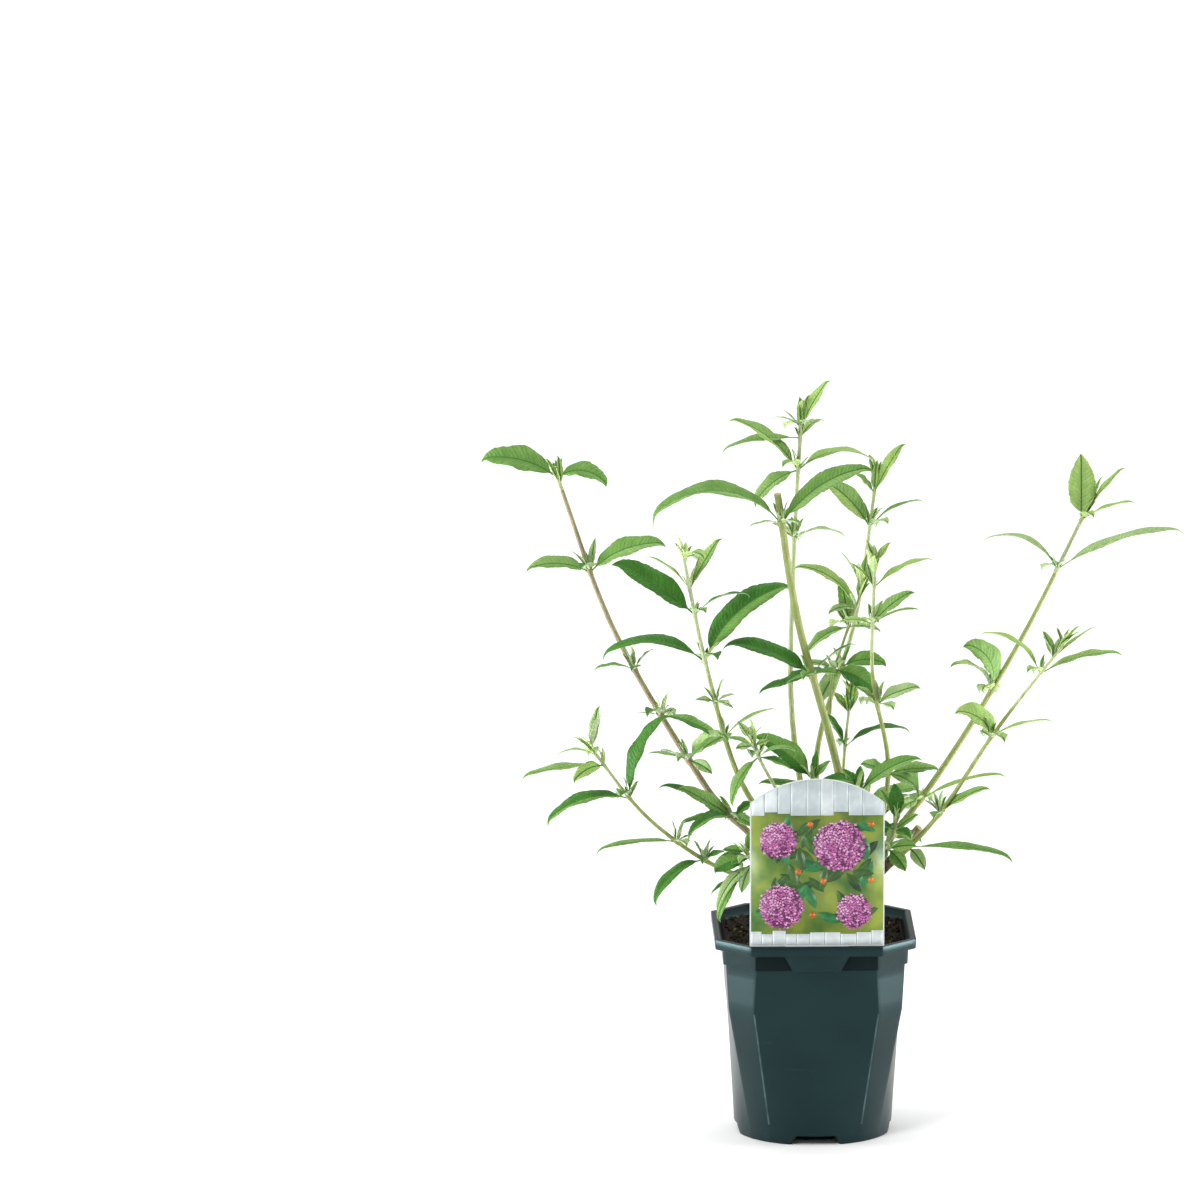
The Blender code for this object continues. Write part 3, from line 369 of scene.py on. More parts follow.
# Below, a close pale felt of hairs that scatters the light and hides the gloss
OLD_FELT = LeafFelt("old_leaf_felt", "#86a070", "#94ad7e", vein="#a4b98e")
FULL_FELT = LeafFelt("full_leaf_felt", "#97b080", "#a5bc8e", vein="#b3c69c")
FRESH_FELT = LeafFelt("fresh_leaf_felt", "#a0b888", "#adc395", vein="#bacda3")
YOUNG_FELT = LeafFelt("young_leaf_felt", "#a4c26b", "#b2cc7e", vein="#c4d89c")
# The midrib, which is sunk above and stands out pale below
SUNK_RIB = Finish("sunken_midrib", "#3f6d28", "#4d7c33", 6, 0.6, 0.2, 0.8, 0.15)
PROUD_RIB = Finish("proud_midrib", "#b5c897", "#c2d3a6", 6, 0.8, 0.3, 0.8, 0.15)
# Coated card, and what is printed on it
CARD_STOCK = Finish("coated_card", "#d6dadb", "#ced3d5", 30, 0.4, 0.03, 0.5, 0.4)
PLANK_PRINT = PaintedPlank("white_plank_print", "#cdd4d4", "#bec7c9", 9, 0.42, 0.03, 0.5, 0.3)
GREY_PLANK_PRINT = PaintedPlank("grey_plank_print", "#bcc6c8", "#adb8bb", 9, 0.42, 0.03, 0.5, 0.3)
GAP_PRINT = PrintInk("plank_gap_print", "#5f6a72", "#707b83", 5, 0.5)
MEADOW_PRINT = PrintInk("blurred_meadow_print", "#38602a", "#84923a", 30)
SHADE_PRINT = PrintInk("blurred_shade_print", "#1f3a1e", "#3c5f2b", 15)
LEAF_PRINT = PrintInk("printed_leaf", "#2f7a44", "#286338", 7)
ROSE_PRINT = PrintInk("rose_petal_print", "#b4659c", "#a5568d", 6)
BLUSH_PRINT = PrintInk("blush_petal_print", "#d29fc2", "#c489b2", 6)
PLUM_PRINT = PrintInk("plum_petal_print", "#6d2f62", "#5a2650", 6)
AMBER_PRINT = PrintInk("amber_petal_print", "#c9752a", "#b1561c", 4)
# A painted board under the whole scene: matt, nearly white
PALE_BOARD = Finish("pale_painted_board", "#fcfcfc", "#fafafa", 900, 0.9, 0.0, 5.0, 0.1)


def keep_piece(name: str, bm: Mesh, finishes: Sequence[Finish],
               nodes: Sequence[str], angle: float = 40.0) -> bpy.types.Object:
    """Turns a mesh in millimetres into a finished piece that stands for CAD nodes.

    Args:
        name: The piece's name.
        bm: The mesh, which is freed.
        finishes: The finishes of its material slots, in order.
        nodes: The CAD nodes that it replaces.
        angle: Edges sharper than this stay crisp.

    Returns:
        The piece, riding on the plant's one body.
    """
    bmesh.ops.scale(bm, vec=(MM, MM, MM), verts=bm.verts)
    data = bpy.data.meshes.new(name)
    bm.to_mesh(data)
    bm.free()
    for finish in finishes:
        data.materials.append(finish.material())
    data.shade_smooth()
    data.set_sharp_from_angle(angle=math.radians(angle))
    piece = bpy.data.objects.new(name, data)
    bpy.context.scene.collection.objects.link(piece)
    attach(piece, "root")
    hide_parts(*nodes)
    LOG.info("%s: %d faces for %d nodes", name, len(data.polygons), len(nodes))
    return piece


def closed(bm: Mesh) -> Mesh:
    """Merges a mesh's doubles and turns its faces outwards.

    Args:
        bm: The mesh, which is changed.

    Returns:
        The same mesh.
    """
    bmesh.ops.remove_doubles(bm, verts=bm.verts, dist=0.001)
    bmesh.ops.recalc_face_normals(bm, faces=bm.faces)
    return bm


def loft(bm: Mesh, rings: Sequence[Line]) -> Loops:
    """Extrudes a filled outline from ring to ring and fills the last.

    Args:
        bm: The mesh to add to.
        rings: Outlines of as many points each.

    Returns:
        The vertices of every ring, in the order of its points.
    """
    loop = bmesh.ops.create_circle(bm, cap_ends=True, segments=len(rings[0]), radius=1)["verts"]
    loops = [loop]
    for vert, point in zip(loop, rings[0]):
        vert.co = point
    for ring in rings[1:]:
        pairs = list(zip(loop, loop[1:] + loop[:1]))
        edges = [bm.edges.get(pair) for pair in pairs]
        fresh = {g for g in bmesh.ops.extrude_edge_only(bm, edges=edges)["geom"]
                 if isinstance(g, bmesh.types.BMVert)}
        loop = [next(e.other_vert(v) for e in v.link_edges if e.other_vert(v) in fresh) for v in loop]
        for vert, point in zip(loop, ring):
            vert.co = point
        loops.append(loop)
    bmesh.ops.edgeloop_fill(bm, edges=[bm.edges.get(pair) for pair in zip(loop, loop[1:] + loop[:1])])
    return loops


def circle_ring(radius: float, height: float, angles: Sequence[float]) -> list[Vector]:
    """A level circle of points at the given angles."""
    return [Vector((radius * math.cos(a), radius * math.sin(a), height)) for a in angles]


def carve(bm: Mesh, tools: Sequence[Mesh], operation: str) -> Mesh:
    """Joins or cuts one closed mesh with others, by exact Booleans.

    Args:
        bm: The mesh to work on, which is freed.
        tools: The meshes to join or take away, which are freed.
        operation: UNION or DIFFERENCE.

    Returns:
        The result.
    """
    made: list[bpy.types.Object] = []
    for mesh in (bm, *tools):
        data = bpy.data.meshes.new("blank")
        mesh.to_mesh(data)
        mesh.free()
        made.append(bpy.data.objects.new("blank", data))
        bpy.context.scene.collection.objects.link(made[-1])
    for tool in made[1:]:
        modifier = made[0].modifiers.new("carve", "BOOLEAN")
        modifier.operation = operation
        modifier.object = tool
        modifier.solver = "EXACT"
    carved = bpy.data.meshes.new_from_object(made[0].evaluated_get(bpy.context.evaluated_depsgraph_get()))
    result = bmesh.new()
    result.from_mesh(carved)
    bpy.data.meshes.remove(carved)
    for blank in made:
        bpy.data.meshes.remove(blank.data)
    return result


@dataclass
class NurseryPot:
    """A thin pot: a square with cut corners at the rim, round at the foot."""

    height: float = 175.8
    rim_half: float = 84.8
    rim_flat: float = 55.0
    rim_lip: float = 5.0
    lip_flat: float = 53.0
    band_height: float = 8.6
    draft: float = 0.4
    collar_half: float = 78.2
    collar_flat: float = 51.5
    inner_flat: float = 50.5
    collar_height: float = 13.8
    collar_draft: float = 0.5
    top_half: float = 75.4
    top_flat: float = 50.4
    wide_height: float = 115.0
    wide_flat: float = 52.4
    foot_radius: float = 66.2
    foot_flat: float = 38.0
    foot_height: float = 8.0
    levels: tuple[float, ...] = (144, 134, 124, 115, 104, 92, 81, 70, 59, 47, 36, 25, 16, 8)
    inner_levels: tuple[float, ...] = (115, 81, 47)
    wall: float = 1.8
    plate_radius: float = 45.0
    plate_thick: float = 2.0
    plate_draft: float = 1.0
    channel_height: float = 8.5
    side_points: int = 8
    tag_y: float = -81.6
    tongue_half: float = 26.5
    tongue_foot: float = 19.0
    tongue_reach: float = 18.6
    slot_half: float = 0.7
    pocket_widths: Pair = (55.5, 40.0)
    pocket_y: float = -83.7
    pocket_rise: float = 0.4
    vent_widths: Pair = (31.0, 48.0)
    vent_height: float = 8.0
    vent_reach: Pair = (3.0, 5.0)
    drain_count: int = 8
    drain_ring: float = 54.5
    drain_radius: float = 4.5
    drain_length: float = 6.0
    rounding: float = 0.8
    highlight_span: Pair = (12.0, 114.0)
    highlight_length: float = 5.0

    @property
    def band(self) -> float:
        """The height of the rim band's lower edge."""
        return self.height - self.band_height

    @property
    def collar(self) -> float:
        """The height of the collar's lower edge, where the body starts."""
        return self.band - self.collar_height

    def section(self, height: float, middle: float, flat: float, corner: float) -> list[Vector]:
        """One level outline of four bulging flats and four bulging corners.

        Args:
            height: The level.
            middle: How far the middle of each flat stands from the pot's axis.
            flat: Half the length of each flat.
            corner: How far the flat's ends stand from the axis.

        Returns:
            The outline's points, from the front flat's left end round.
        """
        bulge = (middle - corner) / (math.hypot(flat, corner) - corner)
        points: list[Vector] = []
        for quarter in range(4):
            turn = Matrix.Rotation(quarter * math.pi / 2, 3, "Z")
            for start, end in (((-flat, -corner), (flat, -corner)), ((flat, -corner), (corner, -flat))):
                first, last = Vector(start), Vector(end)
                sweep = first.angle_signed(last)
                for step in range(self.side_points):
                    part = step / self.side_points
                    turned = first.copy()
                    turned.rotate(Matrix.Rotation(-sweep * part, 2))
                    place = first.lerp(last, part).lerp(turned, bulge)
                    points.append(turn @ Vector((place.x, place.y, height)))
        return points

    def body(self, height: float, inset: float = 0.0) -> list[Vector]:
        """The outline of the body under the collar.

        Args:
            height: The level.
            inset: How far it lies inside the outer face.

        Returns:
            The outline's points.
        """
        slope = (self.top_half - self.foot_radius) / self.collar
        middle = self.foot_radius + slope * height
        foot_corner = math.sqrt(self.foot_radius**2 - self.foot_flat**2)
        if height >= self.wide_height:
            part = (height - self.wide_height) / (self.collar - self.wide_height)
            flat = self.wide_flat + (self.top_flat - self.wide_flat) * part
            corner = middle
        else:
            part = max(height - self.foot_height, 0) / (self.wide_height - self.foot_height)
            flat = self.foot_flat + (self.wide_flat - self.foot_flat) * part
            corner = foot_corner + (self.foot_radius + slope * self.wide_height - foot_corner) * part
            middle = max(middle, corner)
        shrink = inset * math.tan(math.radians(22.5))
        return self.section(height, middle - inset, flat - shrink, corner - inset)

    def shell(self) -> Mesh:
        """The whole skin in one run, from the underside out, up and back down inside.

        Returns:
            The closed shell.
        """
        angles = [math.atan2(p.y, p.x) for p in self.body(0)]
        inner_floor, inner_foot = self.channel_height + self.wall, self.foot_radius - self.wall
        rings = [circle_ring(self.plate_radius, 0, angles),
                 circle_ring(self.plate_radius + self.plate_draft, self.channel_height, angles),
                 circle_ring(inner_foot - self.draft, self.channel_height, angles),
                 circle_ring(inner_foot, 0, angles)]
        foot_ring = len(rings)
        rings += [self.body(level) for level in (0, *self.levels[::-1])]
        collar_ring = len(rings)
        collar_foot, rim_foot = self.collar_half - self.collar_draft, self.rim_half - self.draft
        rings += [self.body(self.collar),
                  self.section(self.collar, collar_foot, self.collar_flat, collar_foot),
                  self.section(self.band, self.collar_half, self.collar_flat, self.collar_half),
                  self.section(self.band, rim_foot, self.rim_flat, rim_foot),
                  self.section(self.height, self.rim_half, self.rim_flat, self.rim_half)]
        lip_ring = len(rings)
        lip, inner_collar = self.rim_half - self.rim_lip, self.collar_half - self.wall
        rings += [self.section(self.height, lip, self.lip_flat, lip),
                  self.section(self.band, inner_collar, self.inner_flat, inner_collar)]
        rings += [self.body(level, self.wall) for level in (self.collar, *self.inner_levels, inner_floor)]
        inner_plate = self.plate_radius - self.wall
        rings += [circle_ring(inner_plate + self.plate_draft, inner_floor, angles),
                  circle_ring(inner_plate, self.plate_thick, angles)]
        bm = bmesh.new()
        loops = loft(bm, rings)
        bmesh.ops.recalc_face_normals(bm, faces=bm.faces)
        self.round_edges(bm, loops, foot_ring, collar_ring, lip_ring)
        return bm

    def round_edges(self, bm: Mesh, loops: Loops, foot_ring: int, collar_ring: int, lip_ring: int) -> None:
        """Rounds the creases between the facets and the steps of the collar and the rim.

        The creases beside the front and the rear get the paler plastic: a painted highlight.

        Args:
            bm: The shell.
            loops: Its rings of vertices.
            foot_ring: The ring of the foot's outer edge, where the upright creases start.
            collar_ring: The ring where the body meets the collar.
            lip_ring: The ring of the rim's inner edge.
        """
        edges = []
        for ring in range(foot_ring, lip_ring - 1):
            edges += [bm.edges.get((loops[ring][i], loops[ring + 1][i]))
                      for i in range(0, len(loops[0]), self.side_points)]
        for ring in (foot_ring, *range(collar_ring, lip_ring + 1)):
            edges += [bm.edges.get(pair) for pair in zip(loops[ring], loops[ring][1:] + loops[ring][:1])]
        rounded = bmesh.ops.bevel(bm, geom=[e for e in edges if e], offset=self.rounding,
                                  offset_type="OFFSET", segments=2, profile=0.5, affect="EDGES",
                                  material=-1, clamp_overlap=True)
        # Painted highlight: long upright crease faces beside the front and the rear take the paler plastic
        for face in rounded["faces"]:
            low, high = min(v.co.z for v in face.verts), max(v.co.z for v in face.verts)
            corner = face.verts[0].co
            highlighted = high - low > self.highlight_length and self.highlight_span[0] < low < self.highlight_span[1]
            if highlighted and abs(corner.y) > abs(corner.x):
                face.material_index = 2

    @staticmethod
    def prism(outline: Iterable[Pair], near: float, far: float, turn: float = 0,
              rounding: float = 0.0) -> Mesh:
        """An outline in X and Z drawn along Y, and turned about Z.

        Args:
            outline: The corners of the outline.
            near: Where it starts in Y.
            far: Where it ends.
            turn: The turn about Z.
            rounding: How far its edges are rounded.

        Returns:
            The closed prism.
        """
        bm = bmesh.new()
        loft(bm, [[Vector((x, y, z)) for x, z in outline] for y in (near, far)])
        if rounding:
            bmesh.ops.bevel(bm, geom=bm.edges[:], offset=rounding, segments=2, profile=0.5,
                            affect="EDGES", material=-1)
        bmesh.ops.rotate(bm, verts=bm.verts, cent=(0, 0, 0),
                         matrix=Matrix.Rotation(math.radians(turn), 3, "Z"))
        bmesh.ops.recalc_face_normals(bm, faces=bm.faces)
        return bm

    @staticmethod
    def trapezoid(widths: Pair, top: float, foot: float) -> list[Pair]:
        """The corners of an upright trapezoid, from its widths at the top and the foot."""
        high, low = widths[0] / 2, widths[1] / 2
        return [(-low, foot), (low, foot), (high, top), (-high, top)]

    def slot_outline(self, margin: float = 0.3) -> list[Pair]:
        """The slot that the label's tongue stands in.

        Args:
            margin: The play round the tongue.

        Returns:
            The corners, from the lower left one round.
        """
        foot, waist, top = self.height - self.tongue_reach - margin, self.band + 1, self.height + 2
        half, low = self.tongue_half + margin, self.tongue_foot + margin
        return [(-low, foot), (low, foot), (half, waist), (half, top), (-half, top), (-half, waist)]

    def drains(self) -> list[Mesh]:
        """The holes through the channel under the pot.

        Returns:
            One cutter for each hole.
        """
        holes = []
        for hole in range(self.drain_count):
            angle = math.tau * (hole + 0.5) / self.drain_count
            bm = bmesh.new()
            place = Matrix.Translation((self.drain_ring * math.cos(angle), self.drain_ring * math.sin(angle),
                                        self.channel_height + 1))
            bmesh.ops.create_cone(bm, cap_ends=True, segments=20, radius1=self.drain_radius,
                                  radius2=self.drain_radius, depth=self.drain_length, matrix=place)
            holes.append(bm)
        return holes

    def build(self) -> None:
        """The pot with its label pocket, vents and drains."""
        pocket = self.prism(self.trapezoid(self.pocket_widths, self.band + 1, self.collar + self.pocket_rise),
                            self.pocket_y, 1 - self.collar_half, rounding=self.rounding)
        pot = carve(self.shell(), [pocket], "UNION")
        out, inward = self.vent_reach
        vents = [self.prism(self.trapezoid(self.vent_widths, self.vent_height, -1), -self.foot_radius - out,
                            inward - self.foot_radius, side * 90) for side in range(4)]
        slot = self.prism(self.slot_outline(), self.tag_y - self.slot_half, self.tag_y + self.slot_half)
        pot = closed(carve(pot, [slot, *vents, *self.drains()], "DIFFERENCE"))
        for face in pot.faces:
            middle = face.calc_center_median()
            on_collar = self.collar < middle.z < self.band and middle.y > -self.collar_half - 1
            # Painted shade: the collar's front, under the rim band, wears the darker, duller plastic
            if on_collar and face.normal.y < -0.9:
                face.material_index = 1
        keep_piece("nursery_pot", pot, [POT_PLASTIC, COLLAR_SHADE_PLASTIC, CREASE_HIGHLIGHT_PLASTIC],
                   ["pot"], 28)


@dataclass
class Compost:
    """Peat compost up to just under the rim, crumbly on top."""

    pot: NurseryPot
    level: float = 170.2
    dip: float = 1.43
    depth: float = 30.0
    foot_share: float = 0.9
    edge_drop: float = 4.0
    overlap: float = 0.4
    lump_pace: float = 0.09
    lump_height: float = 1.6
    lump_limits: Pair = (-2.4, 1.4)
    rings: int = 26
    crumbs: int = 1500
    crumb_sizes: Pair = (0.7, 2.6)
    crumb_widths: Pair = (0.5, 0.9)
    crumb_depths: Pair = (0.25, 0.6)
    crumb_kinds: tuple[int, ...] = (60, 35, 5)
    crumb_dent: float = 0.16
    wall_clear: float = 4.0
    corner_cut: float = 1.64
    crown_clear: float = 17.0

    def surface(self, x: float, y: float) -> float:
        """The height of the compost's top at a place."""
        rough = noise.fractal(Vector((x, y, 3)) * self.lump_pace, 0.7, 2.2, 4) * self.lump_height
        return self.level - self.dip + max(min(rough, self.lump_limits[1]), self.lump_limits[0])

    def edge(self) -> list[Vector]:
        """The outline at the wall, just under the rim."""
        half = self.pot.collar_half - self.pot.wall + self.overlap
        return self.pot.section(self.level - self.edge_drop, half, self.pot.inner_flat, half)

    def body(self) -> Mesh:
        """The body of compost with its uneven top.

        Returns:
            The closed body.
        """
        edge, share = self.edge(), self.foot_share
        rings = [[Vector((p.x * share, p.y * share, self.level - self.depth)) for p in edge], edge]
        for ring in range(self.rings):
            scale = 1 - (ring + 0.5) / self.rings
            rings.append([Vector((p.x * scale, p.y * scale, self.surface(p.x * scale, p.y * scale)))
                          for p in edge])
        bm = bmesh.new()
        loft(bm, rings)
        return closed(bm)

    def scatter(self) -> Mesh:
        """Loose crumbs, flakes and specks of moss on the top.

        Returns:
            The crumbs, one closed shape each.
        """
        deal = random.Random(5)
        bm = bmesh.new()
        reach = self.pot.collar_half - self.wall_clear
        laid = 0
        while laid < self.crumbs:
            x, y = deal.uniform(-reach, reach), deal.uniform(-reach, reach)
            size = deal.uniform(*self.crumb_sizes) * deal.choice((0.6, 0.8, 1.0))
            near_crown = math.dist((x, y), CROWN_FOOT[:2]) < self.crown_clear
            if near_crown or abs(x) + abs(y) > reach * self.corner_cut:
                continue
            place = Matrix.Translation((x, y, self.surface(x, y) + size * 0.25))
            turn = Euler([deal.uniform(0, 6.3) for _ in range(3)]).to_matrix().to_4x4()
            shape = Matrix.Diagonal((size, size * deal.uniform(*self.crumb_widths),
                                     size * deal.uniform(*self.crumb_depths), 1))
            made = bmesh.ops.create_icosphere(bm, subdivisions=1, radius=1, matrix=place @ turn @ shape)
            for vert in made["verts"]:
                shift = Vector((deal.uniform(-1, 1), deal.uniform(-1, 1), deal.uniform(-1, 1)))
                vert.co += shift * size * self.crumb_dent
                vert.co.z = min(vert.co.z, self.pot.height - 1)
            kind = deal.choices((0, 1, 2), self.crumb_kinds)[0]
            for face in {f for v in made["verts"] for f in v.link_faces}:
                face.material_index = kind
            laid += 1
        return bm

    def build(self) -> None:
        """The compost and its crumbs."""
        keep_piece("peat_compost", self.body(), [PEAT], ["compost"], 80)
        keep_piece("compost_crumbs", self.scatter(), [PEAT, DRY_CRUMB, MOSS_CRUMB],
                   ["compost"], 20)


class Bloom(NamedTuple):
    """The outline of a printed flower, which draws in to a waist between its petals."""

    petals: int
    waist: float
    points: int


HEAD_SHADE = Bloom(9, 0.93, 54)
SMALL_BLOOM = Bloom(4, 0.45, 8)
AMBER_BLOOM = Bloom(8, 0.55, 16)


@dataclass
class PlantLabel:
    """A card in the pot's pocket: white boards above and below a printed garden picture.

    Each of its flower heads is given by its place across, its place up and its reach.
    """

    pot: NurseryPot
    width: float = 113.0
    shoulder: float = 299.0
    top: float = 320.0
    thick: float = 0.8
    border: float = 1.1
    header: float = 290.0
    footer: float = 188.0
    plank_gap: float = 0.45
    plank_least: float = 4.0
    plank_steps: tuple[float, ...] = (-1.4, 0, 0.9, 1.6)
    top_planks: Pair = (10, 15)
    foot_planks: Pair = (8, 17)
    arc_points: int = 24
    leaf_count: int = 58
    leaf_margins: Pair = (13, 11)
    leaf_reach: Pair = (8, 13)
    leaf_slimness: float = 0.36
    heads: tuple[Place, ...] = ((-30, 210, 19), (19, 262, 22), (31, 206, 15), (-33, 267, 16))
    bloom_density: float = 0.62
    bloom_size: Pair = (1.3, 1.8)
    ambers: tuple[Pair, ...] = ((-4, 203), (5, 232), (-16, 240), (45, 233), (45, 281), (-6, 281))
    amber_size: float = 3.4
    gap_lift: float = 0.06
    ground_lift: float = 0.10
    leaf_lift: float = 0.13
    plank_lift: float = 0.22
    amber_lift: float = 0.30
    head_lift: float = 0.34
    ink: float = 0.04

    @property
    def half(self) -> float:
        """Half the label's width."""
        return self.width / 2

    @property
    def face(self) -> float:
        """Where the front of the card is in Y."""
        return self.pot.tag_y - self.thick / 2

    @property
    def foot(self) -> float:
        """The height of the card's lower edge, on the rim."""
        return self.pot.height + 0.3

    def arch(self, x: float) -> float:
        """The height of the card's arched top.

        Args:
            x: The place across.

        Returns:
            The height there.
        """
        rise = self.top - self.shoulder
        radius = (self.half**2 + rise**2) / (2 * rise)
        return self.top - radius + math.sqrt(radius**2 - x**2)

    def print_arch(self, x: float) -> float:
        """The height of the print's arched top at a place across."""
        return self.arch(x) - self.border

    def card(self) -> None:
        """The card itself, with its tongue down in the pocket."""
        foot, neck, tongue = self.foot, self.pot.band + 1, self.pot.height - self.pot.tongue_reach
        wide, low = self.pot.tongue_half, self.pot.tongue_foot
        outline = [(-self.half, foot), (-wide, foot), (-wide, neck), (-low, tongue), (low, tongue),
                   (wide, neck), (wide, foot), (self.half, foot)]
        for step in range(self.arc_points + 1):
            x = self.half * math.cos(math.pi * step / self.arc_points)
            outline.append((x, self.arch(x)))
        bm = self.pot.prism(outline, self.face, self.face + self.thick)
        keep_piece("label_card", closed(bm), [CARD_STOCK], ["tag"], 30)

    def panel(self, bm: Mesh, sides: Pair, low: Any, high: Any, lift: float,
              index: int, steps: int = 6) -> None:
        """One printed shape between two heights, which may follow a rule across.

        Args:
            bm: The mesh to add to.
            sides: Its left and right.
            low: The height of its lower edge, or a rule for it.
            high: The height of its upper edge, or a rule for it.
            lift: How far it lies in front of the card.
            index: Its finish.
            steps: How many spans it has across.
        """
        made = bmesh.ops.create_grid(bm, x_segments=steps, y_segments=1, size=1)["verts"]
        for vert in made:
            x = sides[0] + (sides[1] - sides[0]) * (vert.co.x + 1) / 2
            edge = high if vert.co.y > 0 else low
            vert.co = Vector((x, self.face - lift, edge(x) if callable(edge) else edge))
        for face in {f for v in made for f in v.link_faces}:
            face.material_index = index
            if face.normal.y > 0:
                face.normal_flip()

    def keep_print(self, name: str, bm: Mesh, finishes: Sequence[Finish]) -> None:
        """Turns a layer of print to face the front, gives it the ink's thickness and keeps it.

        Args:
            name: The piece's name.
            bm: The layer, which is freed.
            finishes: Its inks, in order.
        """
        bm.normal_update()
        bmesh.ops.reverse_faces(bm, faces=[f for f in bm.faces if f.normal.y > 0])
        piece = keep_piece(name, bm, finishes, ["tag"], 30)
        ink = piece.modifiers.new("ink", "SOLIDIFY")
        ink.thickness = self.ink * MM
        ink.offset = -1

    def boards(self) -> None:
        """White boards with gaps between them, each a little longer or shorter than the next."""
        deal = random.Random(8)
        bm = bmesh.new()
        edge, foot = self.half - self.border, self.foot + self.border
        self.panel(bm, (-edge, edge), self.header, self.print_arch, self.gap_lift, 2, self.arc_points)
        self.panel(bm, (-edge, edge), foot, self.footer, self.gap_lift, 2, 2)
        for above, widths in ((True, self.top_planks), (False, self.foot_planks)):
            left = -edge
            while left < edge:
                right = min(left + deal.uniform(*widths), edge)
                if edge - right < self.plank_least:
                    right = edge
                step = deal.choice(self.plank_steps)
                sides = (left + self.plank_gap / 2, right - self.plank_gap / 2)
                if above:
                    self.panel(bm, sides, self.header - step, self.print_arch, self.plank_lift,
                               deal.choice((0, 1, 1)))
                else:
                    self.panel(bm, sides, foot, self.footer + step, self.plank_lift, 0)
                left = right
        self.keep_print("label_boards", bm, [PLANK_PRINT, GREY_PLANK_PRINT, GAP_PRINT])

    def picture(self) -> None:
        """A blurred garden ground, with round heads of small flowers over leaves."""
        edge = self.half - self.border
        ground = bmesh.new()
        self.panel(ground, (-edge, edge), self.footer - 1, self.header + 1, self.ground_lift, 0, 4)
        self.keep_print("label_ground", ground, [MEADOW_PRINT])
        deal = random.Random(21)
        self.printed_leaves(edge, deal)
        self.blossom(deal)

    def printed_leaves(self, edge: float, deal: random.Random) -> None:
        """Pointed leaves over the ground, each a little further forward than the last.

        Args:
            edge: Half the width of the print.
            deal: The dealer of their places and shades.
        """
        bm = bmesh.new()
        aside, above = self.leaf_margins
        for number in range(self.leaf_count):
            place = (deal.uniform(-edge + aside, edge - aside),
                     deal.uniform(self.footer + above, self.header - above))
            reach, turn = deal.uniform(*self.leaf_reach), deal.uniform(0, 6.3)
            self.printed_shape(bm, place, turn, self.leaf_lift + 0.003 * number, deal.choice((0, 0, 1)), 16,
                               lambda x, y: Vector((x, y * abs(y) * self.leaf_slimness)) * reach)
        self.keep_print("label_leaves", bm, [SHADE_PRINT, LEAF_PRINT])

    def blossom(self, deal: random.Random) -> None:
        """Round heads of small flowers, paler towards the upper left, and amber flowers between.

        Args:
            deal: The dealer of sizes, turns and tones.
        """
        bm = bmesh.new()
        for head, (x, z, reach) in enumerate(self.heads):
            lift = self.head_lift + 0.002 * head
            self.bloom(bm, HEAD_SHADE, (x, z), reach * 0.96, 0, lift, 2)
            count = int(reach * reach * self.bloom_density)
            for number in range(count):
                out = reach * math.sqrt((number + 0.5) / count) * deal.uniform(0.94, 1.04)
                turn = number * GOLDEN_TURN
                shaded = math.cos(turn - 2.2) < 0.2
                tone = deal.choices((0, 1, 2), (6, 2, 2) if shaded else (4, 6, 0))[0]
                place = (x + out * math.cos(turn), z + out * math.sin(turn))
                self.bloom(bm, SMALL_BLOOM, place, deal.uniform(*self.bloom_size), deal.uniform(0, 6),
                           lift + 0.02 + 0.0008 * number, tone)
        for place in self.ambers:
            self.bloom(bm, AMBER_BLOOM, place, self.amber_size, deal.uniform(0, 6), self.amber_lift, 3)
        self.keep_print("label_blossom", bm, [ROSE_PRINT, BLUSH_PRINT, PLUM_PRINT, AMBER_PRINT])

    def printed_shape(self, bm: Mesh, place: Pair, turn: float, lift: float,
                      index: int, points: int, outline: Callable[[float, float], Vector]) -> None:
        """A flat printed shape.

        Args:
            bm: The mesh to add to.
            place: Its middle, across and up.
            turn: Its turn, in radians.
            lift: How far it lies in front of the card.
            index: Its finish.
            points: How many points its outline has.
            outline: Where each point lies, from its place on a round one.
        """
        made = bmesh.ops.create_circle(bm, cap_ends=True, segments=points, radius=1)["verts"]
        for vert in made:
            spot = Matrix.Rotation(turn, 2) @ outline(vert.co.x, vert.co.y)
            vert.co = Vector((place[0] + spot.x, self.face - lift, place[1] + spot.y))
        for face in {f for v in made for f in v.link_faces}:
            face.material_index = index

    def bloom(self, bm: Mesh, kind: Bloom, place: Pair, size: float,
              turn: float, lift: float, index: int) -> None:
        """A flat flower.

        Args:
            bm: The mesh to add to.
            kind: Its outline.
            place: Its middle, across and up.
            size: The reach of its petals.
            turn: Its turn, in radians.
            lift: How far it lies in front of the card.
            index: Its finish.
        """
        def outline(x: float, y: float) -> Vector:
            """The place of a point that lies at x and y on a round flower."""
            swell = abs(math.cos(math.atan2(y, x) * kind.petals / 2)) ** 1.5
            return Vector((x, y)) * size * (kind.waist + (1 - kind.waist) * swell)

        self.printed_shape(bm, place, turn, lift, index, kind.points, outline)

    def build(self) -> None:
        """The card with its printed boards and picture."""
        self.card()
        self.boards()
        self.picture()


class Leaf(NamedTuple):
    """One leaf: heading 0 is right, 90 to the back; rise is the slope from root to tip."""

    length: float
    heading: float
    rise: float
    droop: float = 30
    face: float = 0
    width: float = 0.2


class Stem(NamedTuple):
    """A limb from its foot on the crown, through its knots, with leaves at its joints."""

    foot: Pair
    knots: tuple[Place, ...]
    girth: Pair
    bare_to: float
    joints: dict[float, tuple[Leaf, ...]]


